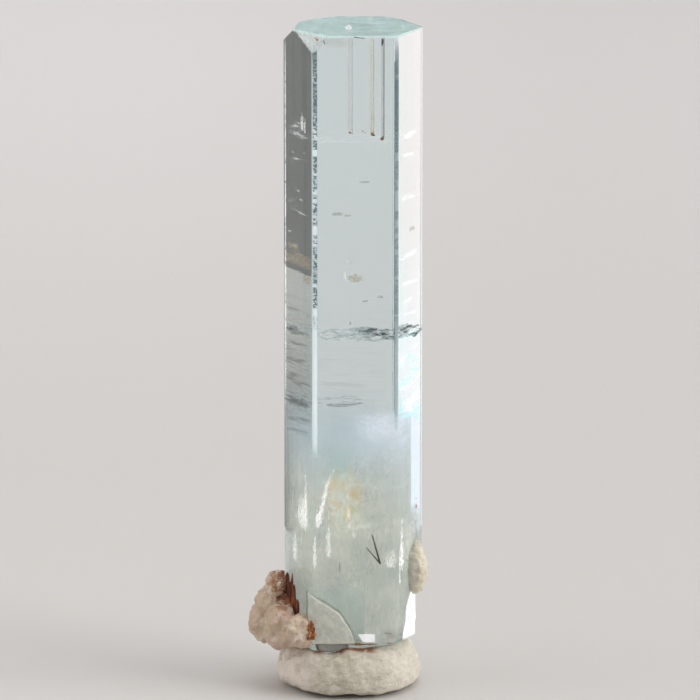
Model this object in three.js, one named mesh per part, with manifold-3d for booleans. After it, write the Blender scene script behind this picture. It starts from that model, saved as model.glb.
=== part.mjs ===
// An aquamarine crystal with feldspar matrix at its foot, standing in a lump of display putty.
//
// Millimetres, +Z up. The widest prism face looks along -Y and +X is to its right.
// The origin is the centre of the putty's flat underside.
//
// Beryl grows as a six-sided prism. Its wide first-order faces meet at 120 degrees, and a narrow
// second-order face cuts each of the six vertical edges. The top is the flat basal face, with
// one cleaved corner, one pyramid face, one chip and two worn edges. The foot is broken.

import * as THREE from 'three';
import { ConvexGeometry } from 'three/addons/geometries/ConvexGeometry.js';
import { ImprovedNoise } from 'three/addons/math/ImprovedNoise.js';
import { mergeVertices } from 'three/addons/utils/BufferGeometryUtils.js';
import Module from 'manifold-3d';

const wasm = await Module();
wasm.setup();

// ---- Driving dimensions -------------------------------------------------------------------

const GAP = 0.3;          // air left between two pieces that touch

const CRYSTAL_X = 0.27;   // the prism's axis stands a little right of the putty's centre
const TOP_Z = 48.6;       // the flat top
const FOOT_Z = 2.9;       // the lowest point of the broken foot

// Wide faces: the direction each one looks in, and its distance from the prism's axis.
const WIDE_FACES = [
  { looks: 270, reach: 3.5 },    // front
  { looks: 330, reach: 4.38 },   // front right
  { looks: 30, reach: 4.38 },    // back right
  { looks: 90, reach: 3.5 },     // back
  { looks: 150, reach: 4.47 },   // back left
  { looks: 210, reach: 4.23 },   // front left
];
// Width of the narrow face after each wide face, going round in the same order.
const NARROW_WIDTHS = [0.34, 0.16, 0.4, 0.62, 0.18, 0.5];

const PUTTY_HEIGHT = 3.8;
const PUTTY_RADIUS = 5.2;
const PUTTY_FOOT_RADIUS = 4.5;
const PUTTY_SEGMENTS = 64;

// The stub where the lower right edge has broken away, under the feldspar chip.
const STEP_X = 4.68;
const STEP_TOP_Z = 6.9;

// ---- Small helpers ------------------------------------------------------------------------

const along = (degrees) => {
  const angle = THREE.MathUtils.degToRad(degrees);
  return new THREE.Vector2(Math.cos(angle), Math.sin(angle));
};

// Seeded random numbers from 0 to 1, so that every build gives the same rock.
function randomFrom(seed) {
  let state = seed;
  return () => {
    state = (state * 16807) % 2147483647;
    return state / 2147483647;
  };
}

function toSolid(geometry) {
  const bare = new THREE.BufferGeometry();
  bare.setAttribute('position', geometry.getAttribute('position').clone());
  if (geometry.index) bare.setIndex(geometry.index.clone());
  const merged = mergeVertices(bare, 1e-5);
  return new wasm.Manifold(new wasm.Mesh({
    numProp: 3,
    vertProperties: new Float32Array(merged.getAttribute('position').array),
    triVerts: new Uint32Array(merged.index.array),
  }));
}

// Cutting leaves a few slivers with edges shorter than the weld. Their ends are welded together,
// and what then has no area goes: triangles with a repeated corner, and pairs back to back.
const WELD = 0.004;
function withoutSlivers(geometry) {
  const welded = mergeVertices(geometry, WELD);
  const kept = new Map();
  const corners = welded.index.array;
  for (let i = 0; i < corners.length; i += 3) {
    const triangle = [corners[i], corners[i + 1], corners[i + 2]];
    if (new Set(triangle).size < 3) continue;
    const key = [...triangle].sort((a, b) => a - b).join();
    if (kept.has(key)) kept.delete(key);
    else kept.set(key, triangle);
  }
  welded.setIndex([...kept.values()].flat());
  return welded;
}

function toGeometry(solid) {
  const mesh = solid.getMesh();
  const geometry = new THREE.BufferGeometry();
  geometry.setAttribute('position', new THREE.BufferAttribute(mesh.vertProperties, 3));
  geometry.setIndex(new THREE.BufferAttribute(mesh.triVerts, 1));
  const tidy = withoutSlivers(geometry);
  tidy.computeVertexNormals();
  return tidy;
}

// An upright solid with the given plan outline, from one height to another.
function upright(points, fromZ, toZ) {
  const shape = new THREE.Shape(points);
  const geometry = new THREE.ExtrudeGeometry(shape, { depth: toZ - fromZ, bevelEnabled: false });
  geometry.translate(0, 0, fromZ);
  return toSolid(geometry);
}

// Everything on the outer side of the plane through a point, as a block large enough to cut with.
function beyond(point, normal) {
  const size = 60;
  const outward = new THREE.Vector3(...normal).normalize();
  const geometry = new THREE.BoxGeometry(size, size, size);
  geometry.translate(0, 0, size / 2);
  geometry.applyQuaternion(
    new THREE.Quaternion().setFromUnitVectors(new THREE.Vector3(0, 0, 1), outward));
  geometry.translate(...point);
  return toSolid(geometry);
}

// A rounded lump: a ball stretched to its half sizes, with a smooth uneven surface.
const noise = new ImprovedNoise();
function lump({ at, half, seed, detail = 3 }, grow = 0) {
  const geometry = new THREE.IcosahedronGeometry(1, detail);
  const position = geometry.getAttribute('position');
  const point = new THREE.Vector3();
  for (let i = 0; i < position.count; i += 1) {
    point.fromBufferAttribute(position, i);
    const broad = noise.noise(1.4 * point.x + seed, 1.4 * point.y, 1.4 * point.z);
    const fine = noise.noise(3.1 * point.x, 3.1 * point.y + seed, 3.1 * point.z);
    const reach = 1 + 0.22 * broad + 0.1 * fine;
    point.set(
      at[0] + point.x * (half[0] * reach + grow),
      at[1] + point.y * (half[1] * reach + grow),
      at[2] + point.z * (half[2] * reach + grow));
    position.setXYZ(i, point.x, point.y, point.z);
  }
  return toSolid(geometry);
}

const joined = (solids) => solids.reduce((whole, solid) => whole.add(solid));
const cutBy = (solid, cutters) => cutters.reduce((rest, cutter) => rest.subtract(cutter), solid);

// ---- The prism ----------------------------------------------------------------------------

// Where the edge lines of two faces cross in plan.
function crossing(a, b) {
  const [m, n] = [along(a.looks), along(b.looks)];
  const area = m.x * n.y - m.y * n.x;
  return new THREE.Vector2(
    (a.reach * n.y - b.reach * m.y) / area,
    (b.reach * m.x - a.reach * n.x) / area);
}

// All twelve faces in order round the prism. A narrow face halves the turn between its
// neighbours, and its width says how deep it cuts the edge they would otherwise share.
function prismFaces() {
  return WIDE_FACES.flatMap((face, i) => {
    const next = WIDE_FACES[(i + 1) % WIDE_FACES.length];
    const looks = face.looks + 30;
    const depth = NARROW_WIDTHS[i] / 2 / Math.tan(Math.PI / 3);
    return [face, { looks, reach: crossing(face, next).dot(along(looks)) - depth }];
  });
}

// The prism's plan, moved outward by grow.
function prismOutline(grow = 0) {
  const faces = prismFaces().map(({ looks, reach }) => ({ looks, reach: reach + grow }));
  return faces.map((face, i) => {
    const corner = crossing(face, faces[(i + 1) % faces.length]);
    return corner.add(new THREE.Vector2(CRYSTAL_X, 0));
  });
}

// ---- Matrix pieces ------------------------------------------------------------------------

// Feldspar grains grown together round the lower left edge.
const CLUSTER_GRAINS = [
  { at: [-5.35, -0.7, 7.6], half: [0.8, 1.1, 0.95], seed: 1.3 },
  { at: [-5.0, 0.9, 6.7], half: [1.1, 1.2, 1.45], seed: 2.7 },
  { at: [-6.0, -0.4, 6.2], half: [0.95, 1.4, 1.0], seed: 3.1 },
  { at: [-6.35, -0.5, 4.75], half: [1.05, 1.6, 1.25], seed: 4.9 },
  { at: [-5.9, -0.6, 3.95], half: [1.1, 1.5, 0.85], seed: 5.3 },
  { at: [-5.0, -1.9, 5.0], half: [1.25, 1.3, 1.45], seed: 6.1 },
  { at: [-3.85, -3.0, 4.65], half: [1.25, 0.95, 1.05], seed: 7.7 },
  { at: [-4.6, -2.2, 3.95], half: [1.5, 1.4, 0.9], seed: 8.2 },
  { at: [-4.9, 2.0, 4.9], half: [1.25, 1.1, 1.5], seed: 9.6 },
];
const clusterSolid = (grow = 0) => joined(CLUSTER_GRAINS.map((each) => lump(each, grow)));

// A feldspar chip let into the right edge: a leaning lens, thickest below its middle.
const CHIP = { x: 4.95, y: -1.15, z: 8.95, halfWidth: 0.74, halfDepth: 1.2, halfHeight: 2.0 };
const CHIP_TIERS = [
  { height: -1.0, size: 0.3, lean: -0.25 },
  { height: -0.78, size: 0.72, lean: -0.05 },
  { height: -0.35, size: 0.96, lean: 0.06 },
  { height: 0.1, size: 1.0, lean: 0.02 },
  { height: 0.55, size: 0.74, lean: -0.1 },
  { height: 1.0, size: 0.22, lean: -0.02 },
];
function chipSolid(grow = 0) {
  const sides = 9;
  const random = randomFrom(131);
  const points = CHIP_TIERS.flatMap(({ height, size, lean }) =>
    Array.from({ length: sides }, (_, i) => {
      const out = along((i * 360) / sides + 40 * height);
      const reach = size * (0.86 + 0.14 * random());
      return new THREE.Vector3(
        CHIP.x + lean + out.x * (CHIP.halfWidth * reach + grow),
        CHIP.y + out.y * (CHIP.halfDepth * reach + grow),
        CHIP.z + height * (CHIP.halfHeight + grow));
    }));
  return toSolid(new ConvexGeometry(points));
}

// A cleaved fragment on the lower left of the front, its upper edge falling to the right. A
// narrower foot, set back from its face, stands in a dent in the putty.
const FRAGMENT_FACE = {
  frontY: -3.62,
  backY: -2.3,
  middle: [-1.3, 5.0],
  outline: [
    [-3.1, 3.75], [0.42, 3.75], [0.36, 4.25], [0, 5.05],
    [-0.72, 6.1], [-1.8, 6.85], [-2.67, 7.3], [-3.1, 7.6],
  ],
};
const FRAGMENT_FOOT = {
  frontY: -3.42,
  backY: -2.5,
  middle: [-1.3, 3.6],
  outline: [[-2.3, 3.2], [-0.3, 3.2], [-0.12, 4.1], [-2.5, 4.1]],
};
const FRAGMENT_BEVEL = 0.12;
function slabSolid({ frontY, backY, middle, outline }, grow) {
  const centre = new THREE.Vector2(...middle);
  const points = outline.flatMap(([x, z]) => {
    const out = new THREE.Vector2(x, z).sub(centre);
    const front = out.clone().setLength(out.length() - FRAGMENT_BEVEL + grow).add(centre);
    const back = out.clone().setLength(out.length() + grow).add(centre);
    return [
      new THREE.Vector3(front.x, frontY - grow, front.y),
      new THREE.Vector3(back.x, frontY + 2 * FRAGMENT_BEVEL - grow, back.y),
      new THREE.Vector3(back.x, backY + grow, back.y),
    ];
  });
  return toSolid(new ConvexGeometry(points));
}
const fragmentSolid = (grow = 0) =>
  slabSolid(FRAGMENT_FACE, grow).add(slabSolid(FRAGMENT_FOOT, grow));

// Iron-stained crust: a row of narrow upright ribs lying on the front left prism face.
// Each rib is placed by its distance along the face from the prism's left edge.
const CRUST_RIBS = [
  { along: 0.3, fromZ: 6.1, toZ: 7.75, width: 0.55, thick: 0.5 },
  { along: 0.75, fromZ: 5.9, toZ: 7.3, width: 0.55, thick: 0.42 },
  { along: 1.2, fromZ: 5.7, toZ: 8.2, width: 0.56, thick: 0.5 },
  { along: 1.66, fromZ: 5.5, toZ: 8.7, width: 0.56, thick: 0.44 },
  { along: 2.1, fromZ: 5.4, toZ: 7.9, width: 0.5, thick: 0.4 },
  { along: 2.5, fromZ: 5.3, toZ: 6.9, width: 0.45, thick: 0.36 },
];
function crustSolid(grow = 0) {
  const normal = along(210);
  const onward = new THREE.Vector2(-normal.y, normal.x);
  const leftEdge = crossing(WIDE_FACES[4], WIDE_FACES[5]).add(new THREE.Vector2(CRYSTAL_X, 0));
  return joined(CRUST_RIBS.map((rib) => {
    const half = rib.width / 2 + grow;
    const corners = [
      [-half, GAP - grow], [half, GAP - grow],
      [half * 0.7, GAP + rib.thick + grow], [-half * 0.7, GAP + rib.thick + grow],
    ];
    const points = corners.flatMap(([sideways, out]) => {
      const foot = leftEdge.clone()
        .addScaledVector(onward, rib.along + sideways)
        .addScaledVector(normal, out);
      const taper = out > GAP ? 0.12 : 0;
      return [
        new THREE.Vector3(foot.x, foot.y, rib.fromZ - grow + taper),
        new THREE.Vector3(foot.x, foot.y, rib.toZ + grow - 2 * taper),
      ];
    });
    return toSolid(new ConvexGeometry(points));
  }));
}

// A small rusty nodule wedged between the feldspar and the cleaved fragment.
const NODULE = { at: [-2.8, -3.85, 4.95], half: [0.36, 0.34, 0.76], seed: 3.9, detail: 2 };

// ---- The crystal --------------------------------------------------------------------------

// Planes that cut the prism: a point on each, and the way it looks. The first five are at the
// top; the last two are the uneven break across the foot.
const CRYSTAL_CUTS = [
  { name: 'cleaved front left corner', at: [-4.0, -1.06, TOP_Z], looks: [-0.63, -0.63, 0.46] },
  { name: 'pyramid face, left', at: [-3.82, 0.24, TOP_Z], looks: [-0.75, 0.1, 0.66] },
  { name: 'chip, back left', at: [-2.76, 2.39, TOP_Z], looks: [-0.6, 0.56, 0.57] },
  { name: 'worn back edge, left', at: [-1.65, 3.1, TOP_Z], looks: [-0.3, 0.59, 0.75] },
  { name: 'worn back edge, right', at: [3.02, 3.0, TOP_Z], looks: [0.44, 0.49, 0.75] },
  { name: 'break, left half of the foot', at: [-4.7, 0, FOOT_Z], looks: [0.03, 0.02, -1] },
  { name: 'break, right half of the foot', at: [0.6, 0, FOOT_Z], looks: [0.1, -0.05, -1] },
];

function crystalSolid() {
  const prism = upright(prismOutline(), FOOT_Z - 1, TOP_Z);
  const brokenEdge = beyond([STEP_X, 0, 0], [1, 0, -0.02])
    .subtract(beyond([STEP_X, 0, STEP_TOP_Z], [-0.35, 0.1, 1]));
  return cutBy(prism, [
    ...CRYSTAL_CUTS.map(({ at, looks }) => beyond(at, looks)),
    brokenEdge,
    chipSolid(GAP),
    fragmentSolid(GAP),
  ]);
}

// ---- The putty ----------------------------------------------------------------------------

// A ball of soft putty pressed flat: wide low down, with a tight round shoulder. The outline is
// turned about the upright axis, then pushed in and out a little so that it isn't a true round.
function puttySolid() {
  const profile = new THREE.Path();
  profile.moveTo(0, 0);
  profile.lineTo(PUTTY_FOOT_RADIUS, 0);
  profile.bezierCurveTo(PUTTY_RADIUS - 0.1, 0.05, PUTTY_RADIUS, 0.45, PUTTY_RADIUS, 0.95);
  profile.bezierCurveTo(PUTTY_RADIUS, 2.1, 4.75, PUTTY_HEIGHT - 0.25, 3.5, PUTTY_HEIGHT);
  profile.lineTo(0, PUTTY_HEIGHT - 0.08);
  const geometry = new THREE.LatheGeometry(profile.getPoints(9), PUTTY_SEGMENTS);
  geometry.rotateX(Math.PI / 2);
  const position = geometry.getAttribute('position');
  for (let i = 0; i < position.count; i += 1) {
    const [x, y, z] = [position.getX(i), position.getY(i), position.getZ(i)];
    const angle = Math.atan2(y, x);
    const swell = 1 + 0.012 * Math.sin(2 * angle + 0.6) + 0.008 * Math.sin(3 * angle - 1.1);
    const lift = 1 + (z > 0.01 ? 0.03 * Math.sin(angle - 0.9) * (z / PUTTY_HEIGHT) : 0);
    position.setXYZ(i, x * swell, y * swell, z * lift);
  }
  return toSolid(geometry);
}

// ---- Assembly -----------------------------------------------------------------------------

const finish = (color, roughness, metalness = 0) =>
  new THREE.MeshStandardMaterial({ color, roughness, metalness });

const materials = {
  aquamarine: finish(0xc5dedd, 0.05),
  feldspar: finish(0xb7a48c, 0.8),
  paleFeldspar: finish(0xd0c8b6, 0.75),
  cleavedBase: finish(0xaaad9a, 0.45),
  ironCrust: finish(0x5b3224, 0.8),
  rust: finish(0x8a5426, 0.85),
  putty: finish(0xb6af9f, 0.9),
};

const socket = upright(prismOutline(GAP), FOOT_Z - GAP, TOP_Z);
const keepClear = upright(prismOutline(GAP), 0, TOP_Z);

const group = new THREE.Group();
function add(name, solid, material) {
  const mesh = new THREE.Mesh(toGeometry(solid), material);
  mesh.name = name;
  group.add(mesh);
}

add('aquamarine_crystal', crystalSolid(), materials.aquamarine);
add('feldspar_cluster', cutBy(clusterSolid(), [
  keepClear, crustSolid(GAP), fragmentSolid(GAP), lump(NODULE, GAP),
]), materials.feldspar);
add('feldspar_chip', chipSolid(), materials.paleFeldspar);
add('cleaved_fragment', fragmentSolid(), materials.cleavedBase);
add('iron_crust', crustSolid(), materials.ironCrust);
add('rust_nodule', cutBy(lump(NODULE), [keepClear, fragmentSolid(GAP)]), materials.rust);
add('display_putty', cutBy(puttySolid(), [
  socket, clusterSolid(GAP), fragmentSolid(GAP), lump(NODULE, GAP),
]), materials.putty);

export default group;
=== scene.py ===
# %% [markdown]
# # An aquamarine crystal standing in display putty
#
# A clear, pale blue beryl crystal grew as a six-sided prism. Its foot is broken and milky, it
# carries bits of feldspar and rusty crust, and a pinch of cream putty holds it upright. Clear
# stone is mostly made of what is seen through it, so this lesson spends its time on three
# things: true flat faces, flaws inside the stone, and the light that comes through from behind.

# %% Load the frame
import math
import random
from contextlib import contextmanager

import bmesh
import bpy
from mathutils import Matrix, Vector


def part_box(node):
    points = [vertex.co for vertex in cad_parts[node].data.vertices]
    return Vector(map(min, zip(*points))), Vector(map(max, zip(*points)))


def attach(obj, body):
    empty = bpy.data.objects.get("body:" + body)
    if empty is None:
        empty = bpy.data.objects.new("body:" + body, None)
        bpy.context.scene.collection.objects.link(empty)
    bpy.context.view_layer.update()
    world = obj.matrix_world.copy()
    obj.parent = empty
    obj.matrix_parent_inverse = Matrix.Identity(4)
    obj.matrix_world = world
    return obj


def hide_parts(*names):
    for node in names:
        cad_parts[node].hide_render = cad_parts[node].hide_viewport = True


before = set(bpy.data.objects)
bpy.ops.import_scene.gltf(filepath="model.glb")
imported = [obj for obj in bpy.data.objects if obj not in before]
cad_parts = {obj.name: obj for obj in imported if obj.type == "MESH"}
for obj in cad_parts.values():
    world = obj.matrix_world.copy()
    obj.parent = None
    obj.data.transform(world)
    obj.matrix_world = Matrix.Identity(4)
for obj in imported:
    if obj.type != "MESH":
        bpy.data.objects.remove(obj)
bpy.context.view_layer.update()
scene = bpy.context.scene
MM = 0.001
print("frame:", sorted(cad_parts))

# %% [markdown]
# ## Places on the crystal
#
# Every flaw in the stone is placed the way a collector would describe it: so far across from
# the prism's axis, so far behind the front face, and so far below the top. All three are in
# millimetres, and one function turns them into a point in the frame.

# %% Measure the crystal
crystal_low, crystal_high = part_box("aquamarine_crystal")
axis_x = (crystal_low.x + crystal_high.x) / 2
front_y, top_z = crystal_low.y, crystal_high.z


def spot(across, deep, down):
    """A point of the crystal: mm right of its axis, mm behind the front face, mm below the top."""
    return Vector((axis_x + across * MM, front_y + deep * MM, top_z - down * MM))


print("crystal is", [round(size / MM, 2) for size in crystal_high - crystal_low], "mm")

# %% [markdown]
# ## Working by operator
#
# Blender's operators act on whatever is selected, so each step first selects exactly what it
# means. `only` selects objects, `editing` opens edit mode with the whole mesh selected and
# closes it again, and `pick` selects the faces, edges or points that pass a test.

# %% Helpers for selecting
def only(*pieces):
    """Selects these objects and makes the first one active."""
    bpy.ops.object.select_all(action="DESELECT")
    for piece in pieces:
        piece.select_set(True)
    bpy.context.view_layer.objects.active = pieces[0]


@contextmanager
def editing(piece, kind="FACE"):
    """Edit mode on one piece, with all of it selected and faces, edges or verts to pick."""
    only(piece)
    bpy.ops.object.mode_set(mode="EDIT")
    bpy.ops.mesh.select_mode(type=kind)
    bpy.ops.mesh.select_all(action="SELECT")
    yield
    bpy.ops.object.mode_set(mode="OBJECT")


def pick(piece, test, kind="faces"):
    """Selects, in edit mode, the faces, edges or verts that pass the test, and nothing else."""
    bpy.ops.mesh.select_all(action="DESELECT")
    mesh = bmesh.from_edit_mesh(piece.data)
    for element in getattr(mesh, kind):
        if test(element):
            element.select_set(True)
    mesh.select_flush_mode()
    bmesh.update_edit_mesh(piece.data)


# %% [markdown]
# ## Placing a ready shape
#
# Each piece starts from one of Blender's ready shapes, added by its operator with nothing else
# selected. It is put at its size and place, and this is then settled into its mesh, because
# the finishes read the object's own coordinates and would slide along with an unsettled object.

# %% Helpers for placing
def named(piece, name):
    """Names an object and its mesh."""
    piece.name = name
    piece.data.name = name
    return piece


def settle(piece):
    """Puts the object at the origin, unturned and unscaled, with its place in its mesh."""
    only(piece)
    bpy.ops.object.transform_apply(location=True, rotation=True, scale=True)
    return piece


def placed(piece, at=(0, 0, 0), turn=(0, 0, 0), scale=(1, 1, 1)):
    """Scales, turns and moves a piece, with the turns in degrees, and settles it there."""
    piece.scale = scale
    piece.rotation_euler = [math.radians(degrees) for degrees in turn]
    piece.location = at
    return settle(piece)


def primitive(add, name, at=(0, 0, 0), turn=(0, 0, 0), scale=(1, 1, 1), **settings):
    """Adds a ready shape by its operator and these settings, and places it."""
    bpy.ops.object.select_all(action="DESELECT")
    add(**settings)
    return placed(named(bpy.context.object, name), at, turn, scale)


def smooth(piece):
    """Shades the piece's faces as one rounded surface."""
    only(piece)
    bpy.ops.object.shade_smooth()
    return piece


# %% [markdown]
# ## Shaping by modifiers
#
# Stone is roughened, cut and remeshed by modifiers. Each is applied as soon as it is added, so
# that the next step works on the mesh that it made.

# %% Helpers for modifiers
def apply_modifier(piece, kind, **settings):
    """Adds one modifier to the piece with these settings and applies it."""
    only(piece)
    modifier = piece.modifiers.new(kind.title(), kind)
    for name, value in settings.items():
        setattr(modifier, name, value)
    bpy.ops.object.modifier_apply(modifier=modifier.name)
    return piece


def cut_out(piece, tool):
    """Subtracts the tool from the piece."""
    return apply_modifier(piece, "BOOLEAN", object=tool, operation="DIFFERENCE", solver="EXACT")


def grown(piece, grow):
    """Moves the piece's surface outward, along its normals."""
    return apply_modifier(piece, "DISPLACE", strength=grow, mid_level=0.0)


def join(pieces, name):
    """Joins the pieces into the first one."""
    only(*pieces)
    bpy.ops.object.join()
    return named(bpy.context.view_layer.objects.active, name)


# %% [markdown]
# ## Starting from the frame, and coming back to it
#
# The frame's pieces are meshes of loose triangles. A copy of one is merged back into flat faces
# before it is worked on. Every finished piece is hung on the frame's root body again, and the
# frame's pieces that it stands for are hidden.

# %% Helpers for the frame's pieces
def copy_of_node(node, name):
    """A copy of a CAD node's mesh, with its loose triangles merged back into flat faces."""
    only(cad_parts[node])
    bpy.ops.object.duplicate()
    piece = named(bpy.context.object, name)
    for key in list(piece.keys()):
        del piece[key]
    piece.parent = None
    piece.data.materials.clear()
    with editing(piece, "VERT"):
        bpy.ops.mesh.remove_doubles(threshold=0.002 * MM)
        bpy.ops.mesh.dissolve_limited(angle_limit=math.radians(0.5))
    return piece


def finished(piece, finish, slot, *nodes):
    """Gives a piece its finish, hangs it on the frame's root body, and hides the frame's nodes that
    it stands for.
    """
    piece.data.materials.clear()
    piece.data.materials.append(finish.material)
    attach(piece, "root")
    if nodes:
        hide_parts(*nodes)
    print(f"{piece.name}: {len(piece.data.polygons)} faces")
    return piece


# %% [markdown]
# ## Writing shader maths as sums
#
# A procedural finish is a small calculation made for every point of the surface. Wiring Math
# nodes by hand hides the sum, so `Value` wraps a node's socket and lets Python's own signs add
# the nodes.

# %% A value in a shader
class Value:
    """A number worked out in a shader. Python's + - * and ** on it add Math nodes."""

    def __init__(self, finish, socket):
        self.finish = finish
        self.socket = socket

    def maths(self, operation, first, second):
        return self.finish.node("ShaderNodeMath", {"operation": operation},
                                {0: first, 1: second})

    def __add__(self, other):
        return self.maths("ADD", self, other)

    def __sub__(self, other):
        return self.maths("SUBTRACT", self, other)

    def __rsub__(self, other):
        return self.maths("SUBTRACT", other, self)

    def __mul__(self, other):
        return self.maths("MULTIPLY", self, other)

    def __pow__(self, other):
        return self.maths("POWER", self, other)

    __radd__ = __add__
    __rmul__ = __mul__

    def larger(self, other):
        return self.maths("MAXIMUM", self, other)

    def smaller(self, other):
        return self.maths("MINIMUM", self, other)

    def ramp(self, low, high):
        """0 at low, 1 at high, with a smooth rise between them, or a fall if low is higher."""
        return self.finish.node("ShaderNodeMapRange", {"interpolation_type": "SMOOTHSTEP"},
                                {"Value": self, "From Min": low, "From Max": high})


# %% [markdown]
# `Finish` holds one material, and its `node` method adds any other kind of node. It knows where
# its point lies on the crystal, `across`, `deep` and `down`, so a mark can be put on a finish by
# the same three measures as a piece.

# %% A finish
class Finish:
    """One procedural material on Blender's Principled shader."""

    def __init__(self, name, **constants):
        self.material = bpy.data.materials.new(name)
        self.material.use_nodes = True
        self.tree = self.material.node_tree
        self.shader = self.tree.nodes["Principled BSDF"]
        for socket, value in constants.items():
            self.shader.inputs[socket.replace("_", " ")].default_value = value
        place = self.tree.nodes.new("ShaderNodeTexCoord").outputs["Object"]
        self.place = Value(self, place)
        split = self.tree.nodes.new("ShaderNodeSeparateXYZ")
        self.tree.links.new(place, split.inputs[0])
        self.x, self.y, self.z = (Value(self, socket) for socket in split.outputs)
        self.across = (self.x - axis_x) * (1 / MM)
        self.deep = (self.y - front_y) * (1 / MM)
        self.down = (self.z - top_z) * (-1 / MM)

    def node(self, kind, settings=None, sockets=None, output=0):
        """Adds a node, sets it up, fills its sockets with values or links, and gives an output."""
        node = self.tree.nodes.new(kind)
        for name, setting in (settings or {}).items():
            setattr(node, name, setting)
        for key, value in (sockets or {}).items():
            self.fill(node.inputs[key], value)
        return Value(self, node.outputs[output])

    def fill(self, socket, value):
        """Links a worked-out value to the socket, or sets the socket to a plain one."""
        if isinstance(value, Value):
            self.tree.links.new(value.socket, socket)
        else:
            socket.default_value = value

    def noise(self, size, detail=3.0, roughness=0.5, stretch=(1, 1, 1), shift=0.0, tilt=0.0):
        """Cloudy noise from 0 to 1 whose blotches are about size across, in metres. The stretch
        draws them out, the shift gives another pattern, and the tilt, in degrees, turns them."""
        vector = self.place
        if tilt:
            vector = self.node("ShaderNodeMapping", None, {
                "Vector": vector, "Rotation": (0, math.radians(-tilt), 0)})
        mapped = self.node("ShaderNodeMapping", None, {
            "Vector": vector, "Location": (shift, 2 * shift, -shift),
            "Scale": tuple(1 / (size * longer) for longer in stretch)})
        return self.node("ShaderNodeTexNoise", None, {
            "Vector": mapped, "Scale": 1.0, "Detail": detail, "Roughness": roughness})

    def blend(self, amount, first, second):
        """The first colour where amount is 0 and the second where it is 1."""
        FACTOR, FIRST_COLOUR, SECOND_COLOUR, MIXED_COLOUR = 0, 6, 7, 2
        return self.node("ShaderNodeMix", {"data_type": "RGBA"}, {
            FACTOR: amount, FIRST_COLOUR: first, SECOND_COLOUR: second}, MIXED_COLOUR)

    def set(self, **links):
        """Feeds worked-out values to the shader's own sockets."""
        for socket, value in links.items():
            self.fill(self.shader.inputs[socket.replace("_", " ")], value)

    def bump(self, height, depth):
        """Feeds a height from 0 to 1, depth metres deep, to the shader's Normal."""
        self.set(Normal=self.node("ShaderNodeBump", None, {
            "Height": height, "Distance": depth, "Strength": 1.0}))


# %% [markdown]
# Shaders mix light, so they want linear colours. Colours are easier to think of as the numbers
# that a screen shows, so one helper turns those into linear ones.

# %% A colour
def colour(red, green, blue):
    """An ordinary screen colour from 0 to 255 a part, as the linear colour that shaders use."""
    def linear(part):
        part /= 255
        return part / 12.92 if part <= 0.04045 else ((part + 0.055) / 1.055) ** 2.4
    return (linear(red), linear(green), linear(blue), 1.0)


# %% [markdown]
# ## The camera
#
# The crystal's long edges stay parallel in the view, so the lens is a very long one, far away.
# It looks down by about 14 degrees, enough to show the flat top as a thin blue oval.

# %% Place the camera
LENS, SENSOR = 400.0, 36.0
VIEW_WIDTH = 50.4 * MM
LOOKS_DOWN = math.radians(13.8)
aim = Vector((0, 0, 24.82 * MM))

camera_data = bpy.data.cameras.new("camera")
camera_data.lens, camera_data.sensor_width = LENS, SENSOR
camera = bpy.data.objects.new("camera", camera_data)
scene.collection.objects.link(camera)
back = Vector((0, -math.cos(LOOKS_DOWN), math.sin(LOOKS_DOWN)))
camera_distance = VIEW_WIDTH * LENS / SENSOR
camera.location = aim + back * camera_distance
camera.rotation_mode = "QUATERNION"
camera.rotation_quaternion = (-back).to_track_quat("-Z", "Y")
camera_data.clip_start, camera_data.clip_end = 0.02, 4.0
scene.camera = camera
print("camera stands", round(camera_distance, 3), "m away")

# %% [markdown]
# ## The table and the sweep behind it
#
# A flat floor and a wall would meet in a line behind the crystal. A pale sweep has no such line:
# it is a disc whose rim curls up into a wall all round, so every view has the same quiet
# background. The disc's rim is extruded a step at a time round a quarter circle.

# %% Model the sweep
FLOOR_RADIUS, CURL_RADIUS, WALL_HEIGHT, CURL_STEPS = 0.75, 0.18, 0.9, 10
sweep = primitive(bpy.ops.mesh.primitive_circle_add, "sweep", vertices=96,
                  radius=FLOOR_RADIUS, fill_type="NGON")
with editing(sweep, "EDGE"):
    bpy.ops.mesh.region_to_loop()
    out, up = 0.0, 0.0
    for step in range(1, CURL_STEPS + 1):
        turn = math.radians(90) * step / CURL_STEPS
        next_out, next_up = CURL_RADIUS * math.sin(turn), CURL_RADIUS * (1 - math.cos(turn))
        grow = (FLOOR_RADIUS + next_out) / (FLOOR_RADIUS + out)
        bpy.ops.mesh.extrude_edges_move()
        bpy.ops.transform.resize(value=(grow, grow, 1), center_override=(0, 0, up))
        bpy.ops.transform.translate(value=(0, 0, next_up - up))
        out, up = next_out, next_up
    bpy.ops.mesh.extrude_edges_move()
    bpy.ops.transform.translate(value=(0, 0, WALL_HEIGHT))
smooth(sweep)
print("sweep:", len(sweep.data.polygons), "faces")

# %% [markdown]
# The paper is warm and a little darker near the crystal than far behind it, and on the right
# than on the left. Two blends from left to right are blended again from near to far.

# %% Give the sweep its paper
NEAR_LEFT, NEAR_RIGHT = (0.651, 0.632, 0.614, 1), (0.630, 0.609, 0.592, 1)
FAR_LEFT, FAR_RIGHT = (0.781, 0.761, 0.761, 1), (0.701, 0.690, 0.686, 1)
paper = Finish("sweep_paper", Roughness=0.55)
rightward = paper.x.ramp(-0.025, 0.025)
near = paper.blend(rightward, NEAR_LEFT, NEAR_RIGHT)
far = paper.blend(rightward, FAR_LEFT, FAR_RIGHT)
paper.set(Base_Color=paper.blend(paper.y.ramp(0.05, 0.25), near, far))
sweep.data.materials.append(paper.material)
print("sweep is papered")

# %% [markdown]
# ## Soft light
#
# A stone is lit softly, or its faces would flash white. Three large square lamps stand above
# and at both sides, out of the view, and an even white air fills what they leave dark.

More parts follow.
